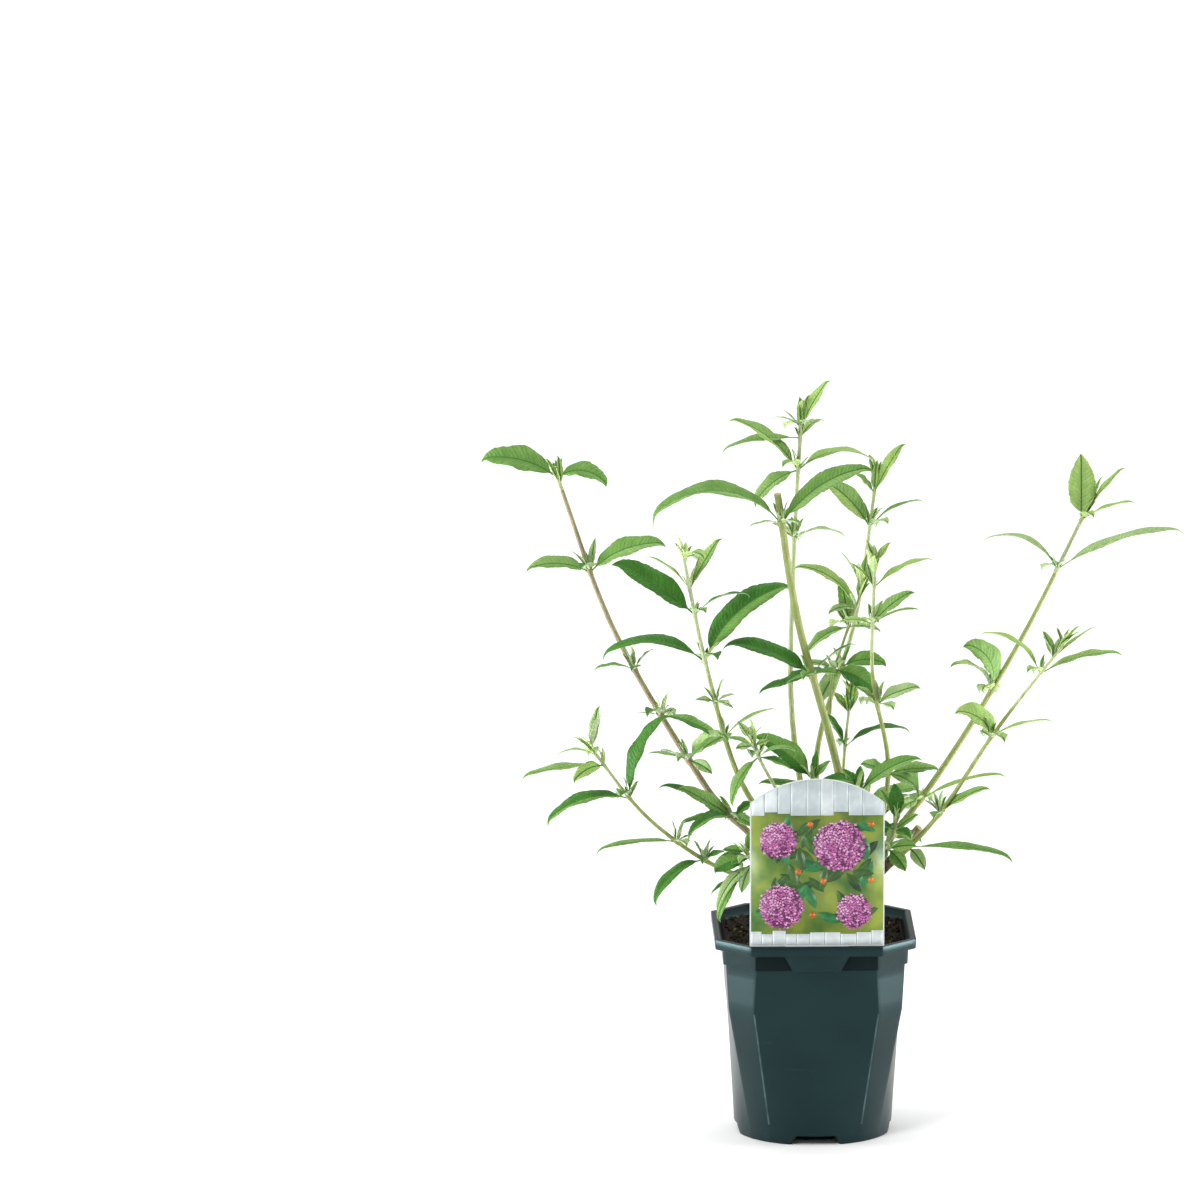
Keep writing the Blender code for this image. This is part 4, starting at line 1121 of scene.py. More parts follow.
STEMS = {
    "far_left": Stem((-29, 2), ((-66, 8, 265), (-99, 15, 306), (-168, 40, 424), (-215, 60, 552)),
                     (3.0, 1.6), 462, {
        266: (Leaf(74, 186, 27, 35, 15, 0.13), Leaf(60, 196, 33, 15, 45, 0.22),
              Leaf(56, 208, 2, 44, 10, 0.12), Leaf(62, 222, -8, 85, 20, 0.16),
              Leaf(26, -20, 42, 30, 40, 0.34), Leaf(24, -45, -5, 40, 30, 0.34)),
        315: (Leaf(36, 182, 12, 25, 10, 0.14), Leaf(32, 212, 25, 20, 0, 0.12),
              Leaf(18, 190, 62, 10, 20, 0.30), Leaf(46, -8, 30, 70, 40, 0.30),
              Leaf(25, -25, -22, 30, 45, 0.32)),
        352: (Leaf(56, -8, -21, 42, 25, 0.16), Leaf(22, 190, 8, 20, 0, 0.14),
              Leaf(14, -40, 50, 10, 10, 0.30)),
        390: (Leaf(38, 200, 5, 45, 5, 0.18), Leaf(24, 215, 62, 20, 20, 0.26),
              Leaf(26, -10, 48, 30, 10, 0.24)),
        471: (Leaf(58, 185, 3, 50, 30, 0.24), Leaf(74, -10, 22, 52, 40, 0.22),
              Leaf(26, 150, 42, 20, 0, 0.12), Leaf(30, 60, 72, 10, 0, 0.18)),
        552: (Leaf(70, 172, 12, 48, 45, 0.28), Leaf(50, -15, -8, 90, 40, 0.26),
              Leaf(15, 110, 75, 10, 0, 0.20), Leaf(17, 50, 68, 10, 0, 0.20)),
    }),
    "left": Stem((-22, -2), ((-59, -18, 298), (-91, -50, 405), (-113, -90, 513)), (2.6, 1.3), 407, {
        345: (Leaf(34, 190, -25, 60, 20, 0.18), Leaf(28, 5, -18, 40, 20, 0.24),
              Leaf(54, 2, 32, 50, 0, 0.13), Leaf(26, 215, -10, 30, 20, 0.2)),
        377: (Leaf(20, 195, 20, 20, 20, 0.32), Leaf(20, -20, 36, 20, 10, 0.22),
              Leaf(18, -35, 2, 30, 10, 0.24)),
        415: (Leaf(106, 14, 38, 66, 40, 0.19), Leaf(99, 172, 0, 82, 25, 0.12)),
        458: (Leaf(86, 187, 35, 16, 45, 0.24), Leaf(54, -10, 22, 60, 0, 0.12)),
        482: (Leaf(52, 2, 60, 12, 35, 0.17), Leaf(48, 178, 38, 36, 0, 0.13)),
        508: (Leaf(18, 160, 62, 10, 0, 0.18), Leaf(15, 30, 60, 10, 0, 0.20)),
    }),
    "low_left": Stem((-22, -10), ((-71, -25, 227), (-139, -55, 279), (-190, -75, 346)), (2.3, 1.2), 294, {
        223: (Leaf(46, 200, -56, 60, 25, 0.17), Leaf(33, 195, -20, 25, 0, 0.20)),
        240: (Leaf(66, 205, -33, 85, 15, 0.15), Leaf(20, -20, 35, 20, 30, 0.32)),
        258: (Leaf(78, 198, 0, 35, 10, 0.10), Leaf(16, -20, 40, 20, 10, 0.24)),
        300: (Leaf(80, 185, -17, 66, 22, 0.16), Leaf(84, -8, 66, 50, 40, 0.18)),
        330: (Leaf(72, 182, -7, 16, 8, 0.13), Leaf(38, 218, -16, 60, 35, 0.25)),
        339: (Leaf(36, 175, 0, 60, 0, 0.15),),
        346: (Leaf(38, 30, 80, 10, 30, 0.19), Leaf(34, -40, 74, 10, 0, 0.18),
              Leaf(18, 165, 40, 20, 0, 0.14)),
    }),
    "cut": Stem((14, -4), ((14, -22, 338), (-16, -52, 451), (-34, -80, 563)), (3.4, 2.8), 563, {
        399: (Leaf(86, 182, 22, 45, 36, 0.19), Leaf(52, 200, -8, 26, 18, 0.16),
              Leaf(50, -8, 42, 46, 0, 0.13), Leaf(26, -35, 18, 40, 20, 0.28),
              Leaf(36, 225, 4, 60, 20, 0.22)),
        537: (Leaf(134, 188, 3, 106, 22, 0.14), Leaf(98, -8, 34, 56, 50, 0.15),
              Leaf(15, 210, 66, 10, 0, 0.22), Leaf(36, 215, 8, 30, 0, 0.12)),
    }),
    "tall": Stem((-20, 8), ((-17, 30, 347), (-15, 72, 466), (-7, 110, 590)), (2.8, 1.4), 484, {
        492: (Leaf(26, 150, 28, 20, 0, 0.36), Leaf(50, -18, 5, 72, 0, 0.18)),
        548: (Leaf(76, 170, 36, 42, 22, 0.16), Leaf(76, 14, 2, 82, 15, 0.14),
              Leaf(52, 198, -36, 52, 28, 0.22)),
        574: (Leaf(70, 188, -7, 22, 16, 0.15), Leaf(46, 60, 10, 50, 0, 0.16)),
        583: (Leaf(27, 165, 15, 50, 0, 0.14), Leaf(22, 172, 44, 12, 0, 0.14),
              Leaf(48, 0, 60, 12, 30, 0.20)),
        590: (Leaf(20, 120, 84, 6, 0, 0.34), Leaf(19, 290, 80, 6, 0, 0.34)),
    }),
    "back_right": Stem((-10, 10), ((4, 28, 318), (38, 75, 424), (57, 120, 534)), (2.6, 1.3), 488, {
        386: (Leaf(40, 212, -52, 34, 40, 0.28), Leaf(42, -18, 4, 62, 40, 0.28)),
        497: (Leaf(58, 172, 44, 32, 45, 0.26), Leaf(54, 5, 25, 52, 0, 0.11)),
        524: (Leaf(27, 190, 45, 20, 30, 0.32), Leaf(51, 0, 60, 14, 30, 0.20)),
        534: (Leaf(25, 155, 76, 6, 20, 0.24), Leaf(19, 40, 70, 6, 0, 0.22)),
    }),
    "right": Stem((21, -9), ((62, -22, 313), (47, -58, 403), (47, -90, 502)), (2.4, 1.2), 440, {
        310: (Leaf(46, -12, 12, 32, 35, 0.22), Leaf(30, 200, 30, 24, 40, 0.34),
              Leaf(30, -40, -6, 34, 30, 0.30)),
        375: (Leaf(44, -14, 30, 50, 35, 0.24), Leaf(30, 200, 46, 30, 30, 0.22)),
        450: (Leaf(47, -6, 40, 32, 40, 0.20), Leaf(30, 190, 6, 50, 20, 0.20),
              Leaf(46, 12, 14, 52, 0, 0.09)),
        484: (Leaf(58, 4, 25, 42, 12, 0.15), Leaf(30, 178, 46, 30, 10, 0.16)),
        500: (Leaf(28, -10, 62, 10, 20, 0.30), Leaf(26, 150, 74, 10, 0, 0.28)),
    }),
    "far_right": Stem((20, 9), ((114, 22, 312), (178, 45, 414), (233, 62, 521)), (2.9, 1.4), 461, {
        279: (Leaf(80, -8, 19, 36, 5, 0.09), Leaf(54, 196, 46, 66, 40, 0.27),
              Leaf(26, 215, -8, 20, 40, 0.34)),
        370: (Leaf(56, 190, 57, 100, 45, 0.34), Leaf(57, 212, 31, 80, 10, 0.20)),
        470: (Leaf(78, 172, 19, 92, 10, 0.11), Leaf(118, -4, 18, 36, 14, 0.10)),
        511: (Leaf(57, 92, 84, 8, 0, 0.34), Leaf(50, -5, 20, 32, 0, 0.13)),
        519: (Leaf(50, 0, 50, 8, 15, 0.13), Leaf(33, 25, 62, 6, 0, 0.14)),
    }),
    "near_right": Stem((27, -5), ((104, -35, 278), (151, -80, 362), (204, -120, 442)), (2.3, 1.1), 404, {
        246: (Leaf(96, -16, -1, 32, 8, 0.10), Leaf(26, -50, -28, 20, 40, 0.36)),
        279: (Leaf(57, -24, 33, 32, 30, 0.15), Leaf(24, 190, 50, 20, 10, 0.22)),
        353: (Leaf(46, 190, 40, 95, 45, 0.42), Leaf(60, -12, 20, 42, 5, 0.12)),
        414: (Leaf(68, 175, 33, 78, 12, 0.13), Leaf(74, 0, 14, 36, 14, 0.12)),
        429: (Leaf(25, 170, 70, 10, 30, 0.28), Leaf(45, 0, 38, 8, 10, 0.12)),
        440: (Leaf(17, 150, 72, 8, 0, 0.22), Leaf(16, 20, 68, 8, 0, 0.22)),
    }),
    "slender": Stem((4, 11), ((25, 22, 274), (28, 42, 319), (34, 62, 363)), (1.8, 1.0), 312, {
        320: (Leaf(62, -6, 15, 62, 10, 0.17), Leaf(35, 170, 60, 22, 15, 0.22)),
        347: (Leaf(25, 160, 48, 16, 20, 0.30), Leaf(30, 70, 30, 40, 0, 0.2)),
        361: (Leaf(19, 30, 64, 10, 0, 0.2), Leaf(17, 200, 60, 10, 0, 0.2)),
    }),
    "inner_left": Stem((-10, -7), ((-20, -36, 280), (-44, -60, 325), (-56, -68, 352)), (2.0, 1.2), 320, {
        335: (Leaf(50, 205, -58, 50, 20, 0.18), Leaf(30, 0, -20, 26, 20, 0.24),
              Leaf(40, -35, 16, 50, 20, 0.18)),
        345: (Leaf(16, 178, -8, 20, 40, 0.36), Leaf(14, -10, 22, 10, 30, 0.34)),
        352: (Leaf(20, 150, 50, 10, 30, 0.30), Leaf(17, -10, 50, 16, 0, 0.16),
              Leaf(14, 250, 70, 10, 0, 0.26)),
    }),
    "centre": Stem((2, -14), ((2, -25, 262), (-2, -30, 309)), (1.8, 1.3), 0, {
        300: (Leaf(48, 184, 8, 18, 30, 0.14), Leaf(40, -20, 12, 50, 30, 0.26)),
        308: (Leaf(64, 176, 38, 30, 50, 0.28), Leaf(24, 30, 40, 20, 20, 0.30),
              Leaf(20, 215, 50, 10, 20, 0.34), Leaf(26, 60, 72, 12, 0, 0.20)),
    }),
    "centre_right": Stem((9, -12), ((26, -32, 258), (37, -40, 300)), (1.8, 1.3), 0, {
        288: (Leaf(30, 165, 22, 40, 30, 0.30), Leaf(28, -60, -30, 40, 30, 0.32)),
        300: (Leaf(64, -8, 31, 40, 45, 0.18), Leaf(26, 140, 46, 30, 10, 0.3),
              Leaf(24, 80, 66, 10, 0, 0.28)),
    }),
    "low_front_left": Stem((-14, -12), ((-44, -36, 230), (-58, -44, 250)), (1.8, 1.3), 0, {
        238: (Leaf(30, 240, -48, 40, 30, 0.28), Leaf(24, -60, -30, 30, 30, 0.36),
              Leaf(56, 215, -44, 60, 20, 0.15)),
        245: (Leaf(34, 188, -22, 34, 45, 0.42), Leaf(22, 222, -8, 20, 30, 0.34)),
        250: (Leaf(22, 170, 5, 16, 30, 0.3), Leaf(22, 60, 62, 20, 20, 0.3),
              Leaf(20, -50, 30, 20, 20, 0.34)),
    }),
    "low_right": Stem((17, -11.5), ((56, -30, 236), (66, -38, 262), (68, -40, 276)), (1.9, 1.3), 0, {
        249: (Leaf(28, -30, 12, 16, 40, 0.34), Leaf(27, -45, -38, 30, 45, 0.38),
              Leaf(22, 235, -30, 30, 30, 0.38)),
        266: (Leaf(25, -8, 36, 14, 40, 0.30), Leaf(24, 210, 20, 30, 30, 0.36),
              Leaf(26, -60, -5, 30, 30, 0.32)),
        276: (Leaf(32, 110, 84, 6, 0, 0.36), Leaf(30, 160, 62, 30, 20, 0.28),
              Leaf(22, -30, 50, 20, 20, 0.30)),
    }),
}

# A leafy twig that starts on the stem at the back right
FORK_CARRIER, FORK_HEIGHT, FORK_START = "back_right", 350, (-60, 10)
FORK = Stem((0, 0), ((17, 38, 381), (27, 37, 414), (42, 33, 457)), (1.5, 1.1), 0, {
    388: (Leaf(46, -18, -27, 46, 45, 0.34), Leaf(26, 178, 12, 40, 20, 0.28)),
    425: (Leaf(45, 150, 78, 12, 40, 0.25), Leaf(46, 196, -30, 50, 25, 0.20),
          Leaf(30, -20, -4, 40, 20, 0.24)),
    441: (Leaf(70, 174, 33, 76, 20, 0.14), Leaf(27, 200, -6, 60, 20, 0.26)),
    456: (Leaf(40, 168, 62, 30, 0, 0.14), Leaf(33, 60, 74, 10, 0, 0.18),
          Leaf(30, 250, 70, 10, 0, 0.18)),
})

# Short shoots from the crown: foot, length, number of leaves, and the seed that deals them
BASAL = {
    "back": ((13, 12.5), 62, 8, 2),
    "back_left": ((-15, 12.5), 58, 8, 1),
}
BASAL_GIRTH = (1.6, 1.0)
BASAL_LIFT = 22
BASAL_LEAF, BASAL_WIDTH = (34, 54), (0.26, 0.34)
BASAL_FAN, BASAL_RISE, BASAL_DROOP, BASAL_FACE = (30, 80), (-8, 34), (25, 55), (0, 25)
# Where a short shoot bends, as a part of its length
BEND = 0.6

# Leaves to the front and back, which lie along the view in the photograph
SIGHT_SLOPE, SIGHT_SWING = 13, 20
SIGHT_LEAF, SIGHT_DROOP, SIGHT_WIDTH = (36, 54), (20, 45), 0.2
SIGHT_SPACE, SIGHT_LIFT = 34, 2
# The joints that have such leaves before the stem, and behind it
FRONTED = {"far_left": (266, 315, 352, 390), "left": (345, 377), "low_left": (240, 258),
           "cut": (399, 537), "right": (375,), "far_right": (279, 370), "near_right": (279, 353)}
BACKED = {"far_left": (266, 352), "far_right": (279, 370), "cut": (399,), "right": (375,),
          "near_right": (353,)}

# The stub beside the pruned stem
STUB_FOOT, STUB_TIP, STUB_RADIUS = (27.5, 3.2), (89, -8, 261), 3.3

# How far round the purple-brown of the sunny side reaches on each stem
SUNNED = {"far_left": 0.8}
# How far down from its tip the young felt still covers a stem's skin, and the stems where it differs
FELT_REACH = 34.0
FELTED = {"tall": 260, "back_right": 150, "left": 130, "far_left": 16, "right": 90, "near_right": 80,
          "inner_left": 80, "low_left": 50, "far_right": 60}


class Age(Enum):
    """How old a leaf is; the value is the slot of its green."""

    OLD = 0
    FULL = 1
    FRESH = 2
    YOUNG = 3
    PALE = 4


# Joints whose leaves take the darkest green, low down, inside the bush and on the left stem: partly age,
# partly painted shade
AGED_AND_SHADED = {"left": (415, 458), "low_left": (223, 240, 300), "far_left": (266, 352, 390), "cut": (399,),
            "right": (310,), "centre": (300, 308), "centre_right": (288, 300), "inner_left": (335,),
            "low_front_left": (245, 250), "low_right": (249, 266, 276), "slender": (320,)}

# Joints whose leaves show their felt
PALED = {"tall": (492,), "right": (375,), "low_front_left": (238,), "far_right": (470,), "far_left": (315,)}
# Stems that have stopped growing, whose highest leaves are full-grown too
HALTED = ("far_left", "cut")


def direction(turn: float, slope: float) -> Vector:
    """The unit vector at a turn from the right and a slope from the level."""
    turn, slope = math.radians(turn), math.radians(slope)
    return Vector((math.cos(slope) * math.cos(turn), math.cos(slope) * math.sin(turn), math.sin(slope)))


def curve_through(knots: Line, steps: int) -> list[Vector]:
    """Lays a smooth curve through knots.

    Args:
        knots: The places that it passes through.
        steps: How many steps each span has.

    Returns:
        Its points, from the first knot to the last.
    """
    ends = [knots[0] * 2 - knots[1], *knots, knots[-1] * 2 - knots[-2]]
    points = []
    for a, b, c, d in zip(ends, ends[1:], ends[2:], ends[3:]):
        for step in range(steps):
            t = step / steps
            points.append(0.5 * (2 * b + (c - a) * t + (2 * a - 5 * b + 4 * c - d) * t**2
                                 + (3 * b - a - 3 * c + d) * t**3))
    return [*points, knots[-1].copy()]


def at_height(path: Line, height: float) -> Vector:
    """Finds the place on a rising path at a height.

    Args:
        path: The path's points, from the lowest up.
        height: The height.

    Returns:
        The place, or the path's end where it stays lower.
    """
    for low, high in zip(path, path[1:]):
        if low.z <= height <= high.z:
            return low.lerp(high, (height - low.z) / max(high.z - low.z, 1e-6))
    return path[-1].copy()


@dataclass
class WoodyCrown:
    """The old crown: a leaning foot that flares at the compost, under a broad knuckled head."""

    foot: Place = CROWN_FOOT
    heart: Place = (24, 5, 208)
    size: Place = (31, 16, 14)
    flare: tuple[Pair, ...] = ((-4, 19.0), (0, 18.0), (3, 15.4), (6, 13.6), (9, 12.6), (13, 12.0),
                               (17, 11.8), (21, 12.2))
    sides: int = 56
    slopes: int = 20
    head_slopes: Pair = (-52, 84)
    knuckle: float = 0.08
    ridge: float = 0.07
    ridge_pace: Place = (0.42, 0.42, 0.09)
    lump: float = 0.10
    lump_pace: float = 0.11

    def root(self, offset: Pair, gap: float = 0.4) -> tuple[Vector, Vector]:
        """Where a stem is rooted on the head.

        Args:
            offset: How far across and along from the heart.
            gap: How far above the wood's skin.

        Returns:
            The place, and the way out from there.
        """
        a, b, c = self.size
        across, along = offset
        rise = c * math.sqrt(1 - (across / a) ** 2 - (along / b) ** 2)
        out = Vector((across / a**2, along / b**2, rise / c**2)).normalized()
        return Vector(self.heart) + Vector((across, along, rise)) + out * gap, out

    def weathered(self, point: Vector, middle: Vector) -> Vector:
        """Moves a point in or out by the bark's long ridges and the wood's lumps.

        Args:
            point: The point on the plain skin.
            middle: The place that it moves from or towards.

        Returns:
            The moved point.
        """
        out = point - middle
        drawn = Vector([value * pace for value, pace in zip(point, self.ridge_pace)])
        ridges = noise.noise(drawn) * self.ridge
        lumps = noise.noise(point * self.lump_pace) * self.lump
        return middle + out * (1 + ridges + lumps)

    def build(self) -> None:
        """The crown as one bark-skinned piece."""
        foot, heart = Vector(self.foot), Vector(self.heart)
        around = [math.tau * k / self.sides for k in range(self.sides)]
        rings = []
        for height, radius in self.flare:
            middle = foot.lerp(heart, height / (heart.z - foot.z))
            rings.append([self.weathered(middle + Vector((math.cos(a), math.sin(a), 0)) * radius
                                         * (1 + self.knuckle * math.cos(3 * a)), middle) for a in around])
        low, high = self.head_slopes
        for step in range(self.slopes):
            level = math.radians(low + (high - low) * step / (self.slopes - 1))
            rings.append([self.weathered(heart + Vector((
                self.size[0] * math.cos(level) * math.cos(a), self.size[1] * math.cos(level) * math.sin(a),
                self.size[2] * math.sin(level))), heart) for a in around])
        bm = bmesh.new()
        loft(bm, rings)
        keep_piece("woody_crown_bark", closed(bm), [OLD_WOOD], ["woody_crown"], 60)


@dataclass
class LeafBlade:
    """The making of one leaf: a stalk and a long toothed blade, quilted between its veins."""

    stalk: float = 0.1
    stalk_half: float = 0.8
    fullness: float = 1.12
    belly: float = 0.75
    belly_peak: float = 0.303
    fold: float = 0.34
    arch: float = 0.07
    lean: float = 0.55
    tooth: float = 1.7
    quilt: float = 0.04
    rib: float = 0.6
    rib_column: float = 0.2
    rib_sunk: float = 0.25
    row_length: float = 1.9
    rows: tuple[int, int] = (10, 48)
    twist: float = 26.0
    twist_start: float = 0.25
    wave: float = 0.13
    sway: float = 9.0
    hook: float = 55.0
    hook_start: float = 0.86
    hold: float = 30.0
    columns: tuple[float, ...] = (-1.0, -0.55, -0.1, 0.1, 0.55, 1.0)

    def half_width(self, part: float, leaf: Leaf) -> float:
        """Half the blade's width.

        Args:
            part: The part of the length, from the root.
            leaf: The leaf.

        Returns:
            Half the width there.
        """
        if part <= self.stalk:
            return self.stalk_half
        along = (part - self.stalk) / (1 - self.stalk)
        full = along**self.belly * (1 - along) / self.belly_peak
        return max(self.fullness * leaf.width * leaf.length / 2 * full, self.stalk_half * (1 - along))

    def spine(self, leaf: Leaf, root: Vector, sway: float, steps: int = 40) -> list[Vector]:
        """The midrib, which hooks down at its tip.

        Args:
            leaf: The leaf.
            root: Where it starts.
            sway: How far it sways out of its straight way, in degrees.
            steps: How many steps it has.

        Returns:
            Its points, from the root to the tip.
        """
        points = [root.copy()]
        for done in range(steps):
            past = 0.5 - (done + 0.5) / steps
            hooked = self.hook * max(0.0, (done / steps - self.hook_start) / (1 - self.hook_start))
            way = direction(leaf.heading + 2 * sway * past, leaf.rise + leaf.droop * past - hooked)
            points.append(points[-1] + way * leaf.length / steps)
        return points

    def spot(self, leaf: Leaf, row: int, rows: int, across: float, mood: Pair) -> tuple[float, float, float]:
        """Where one point of the blade lies, seen from its midrib.

        Args:
            leaf: The leaf.
            row: The point's row, from the stalk's end.
            rows: How many rows the leaf has.
            across: Its place across, from -1 at one edge to 1 at the other.
            mood: How many waves the edge has, and where they start.

        Returns:
            The part of the length, the distance from the midrib and the height over it.
        """
        base = row / rows
        part = min(base + self.lean * abs(across) * self.half_width(base, leaf) / leaf.length, 1.0)
        half = self.half_width(part, leaf) if part < 1 else 0.0
        on_rib = abs(across) < self.rib_column
        width = math.copysign(min(self.rib, half * 0.5), across) if on_rib else half * across
        rise = self.fold * abs(width) + self.arch * half * (1 - (2 * abs(across) - 1) ** 2)
        if on_rib:
            rise -= self.rib_sunk if half > 1 else 0
        elif abs(across) < 1:
            rise += self.quilt * half * (1 if row % 4 < 2 else -1)
        elif 1 < row < rows - 1:
            uneven = 0.5 + 0.6 * noise.noise(Vector((row * 0.7, mood[1] * 9, across)))
            tooth = min(self.tooth, half * 0.3) * (uneven if row % 2 else -uneven)
            width += math.copysign(tooth, across)
            rise += self.wave * half * math.sin(mood[0] * math.tau * part + mood[1] + across)
        return part, width, rise

    def grow(self, bm: Mesh, leaf: Leaf, root: Vector, start: Vector, age: Age, deal: random.Random) -> None:
        """Adds one leaf to a mesh.

        Args:
            bm: The mesh to add to.
            leaf: The leaf's sizes and its way.
            root: Where the rule roots it.
            start: Where its stalk leaves the stem.
            age: Its age, which picks its green; one half of some older leaves takes the next paler one, as
                painted light.
            deal: The dealer of its twist and waves.
        """
        rows = max(self.rows[0], min(self.rows[1], 2 * round(leaf.length / self.row_length / 2)))
        spans = len(self.columns) - 1
        made = bmesh.ops.create_grid(bm, x_segments=spans, y_segments=rows, size=1)["verts"]
        spine = self.spine(leaf, root, deal.uniform(-self.sway, self.sway))
        laid: dict[bmesh.types.BMVert, Pair] = {}
        twist, mood = deal.uniform(-self.twist, self.twist), (deal.uniform(1.5, 3), deal.uniform(0, math.tau))
        pull, hold = start - root, min(1.0, self.hold / leaf.length)
        side = direction(leaf.heading + 90, 0)
        turned = -1 if side.y > 0 else 1
        on_rib = set()
        for vert in made:
            across = self.columns[round((vert.co.x + 1) * spans / 2)]
            part, width, rise = self.spot(leaf, round((vert.co.y + 1) * rows / 2), rows, across, mood)
            laid[vert] = (width * MM, part * leaf.length * MM)
            if abs(across) < self.rib_column:
                on_rib.add(vert)
            up = direction(leaf.heading, leaf.rise + leaf.droop * (0.5 - part)).cross(side)
            roll = math.radians(leaf.face * turned + twist * max(part - self.twist_start, 0))
            step = part * (len(spine) - 1)
            place = spine[int(step)].lerp(spine[min(int(step) + 1, len(spine) - 1)], step % 1)
            ease = max(1 - part / hold, 0)
            place += pull * ease * ease * (3 - 2 * ease)
            place -= (side * math.cos(roll) - up * math.sin(roll)) * width
            vert.co = place + (up * math.cos(roll) + side * math.sin(roll)) * rise
        layer = bm.loops.layers.uv.get("blade") or bm.loops.layers.uv.new("blade")
        # Painted light: on some older leaves one half takes the next paler green, where light falls through
        # it
        painted_lit_side = deal.choice((-1, 0, 1)) if age.value < Age.YOUNG.value else 0
        for face in {f for v in made for f in v.link_faces}:
            painted_lighter = sum(laid[vert][0] for vert in face.verts) * painted_lit_side > 0
            face.material_index = len(Age) if on_rib.issuperset(face.verts) else age.value + painted_lighter
            for corner in face.loops:
                corner[layer].uv = laid[corner.vert]


class Flank(Enum):
    """The part of the bush that a piece of foliage covers."""

    LEFT = "left"
    MIDDLE = "middle"
    RIGHT = "right"


FLANKS = {
    Flank.LEFT: ("far_left", "left", "low_left", "inner_left", "low_front_left", "back_left"),
    Flank.MIDDLE: ("cut", "tall", "centre", "slender", "back_right", "forked", "back"),
    Flank.RIGHT: ("right", "far_right", "near_right", "centre_right", "low_right"),
}


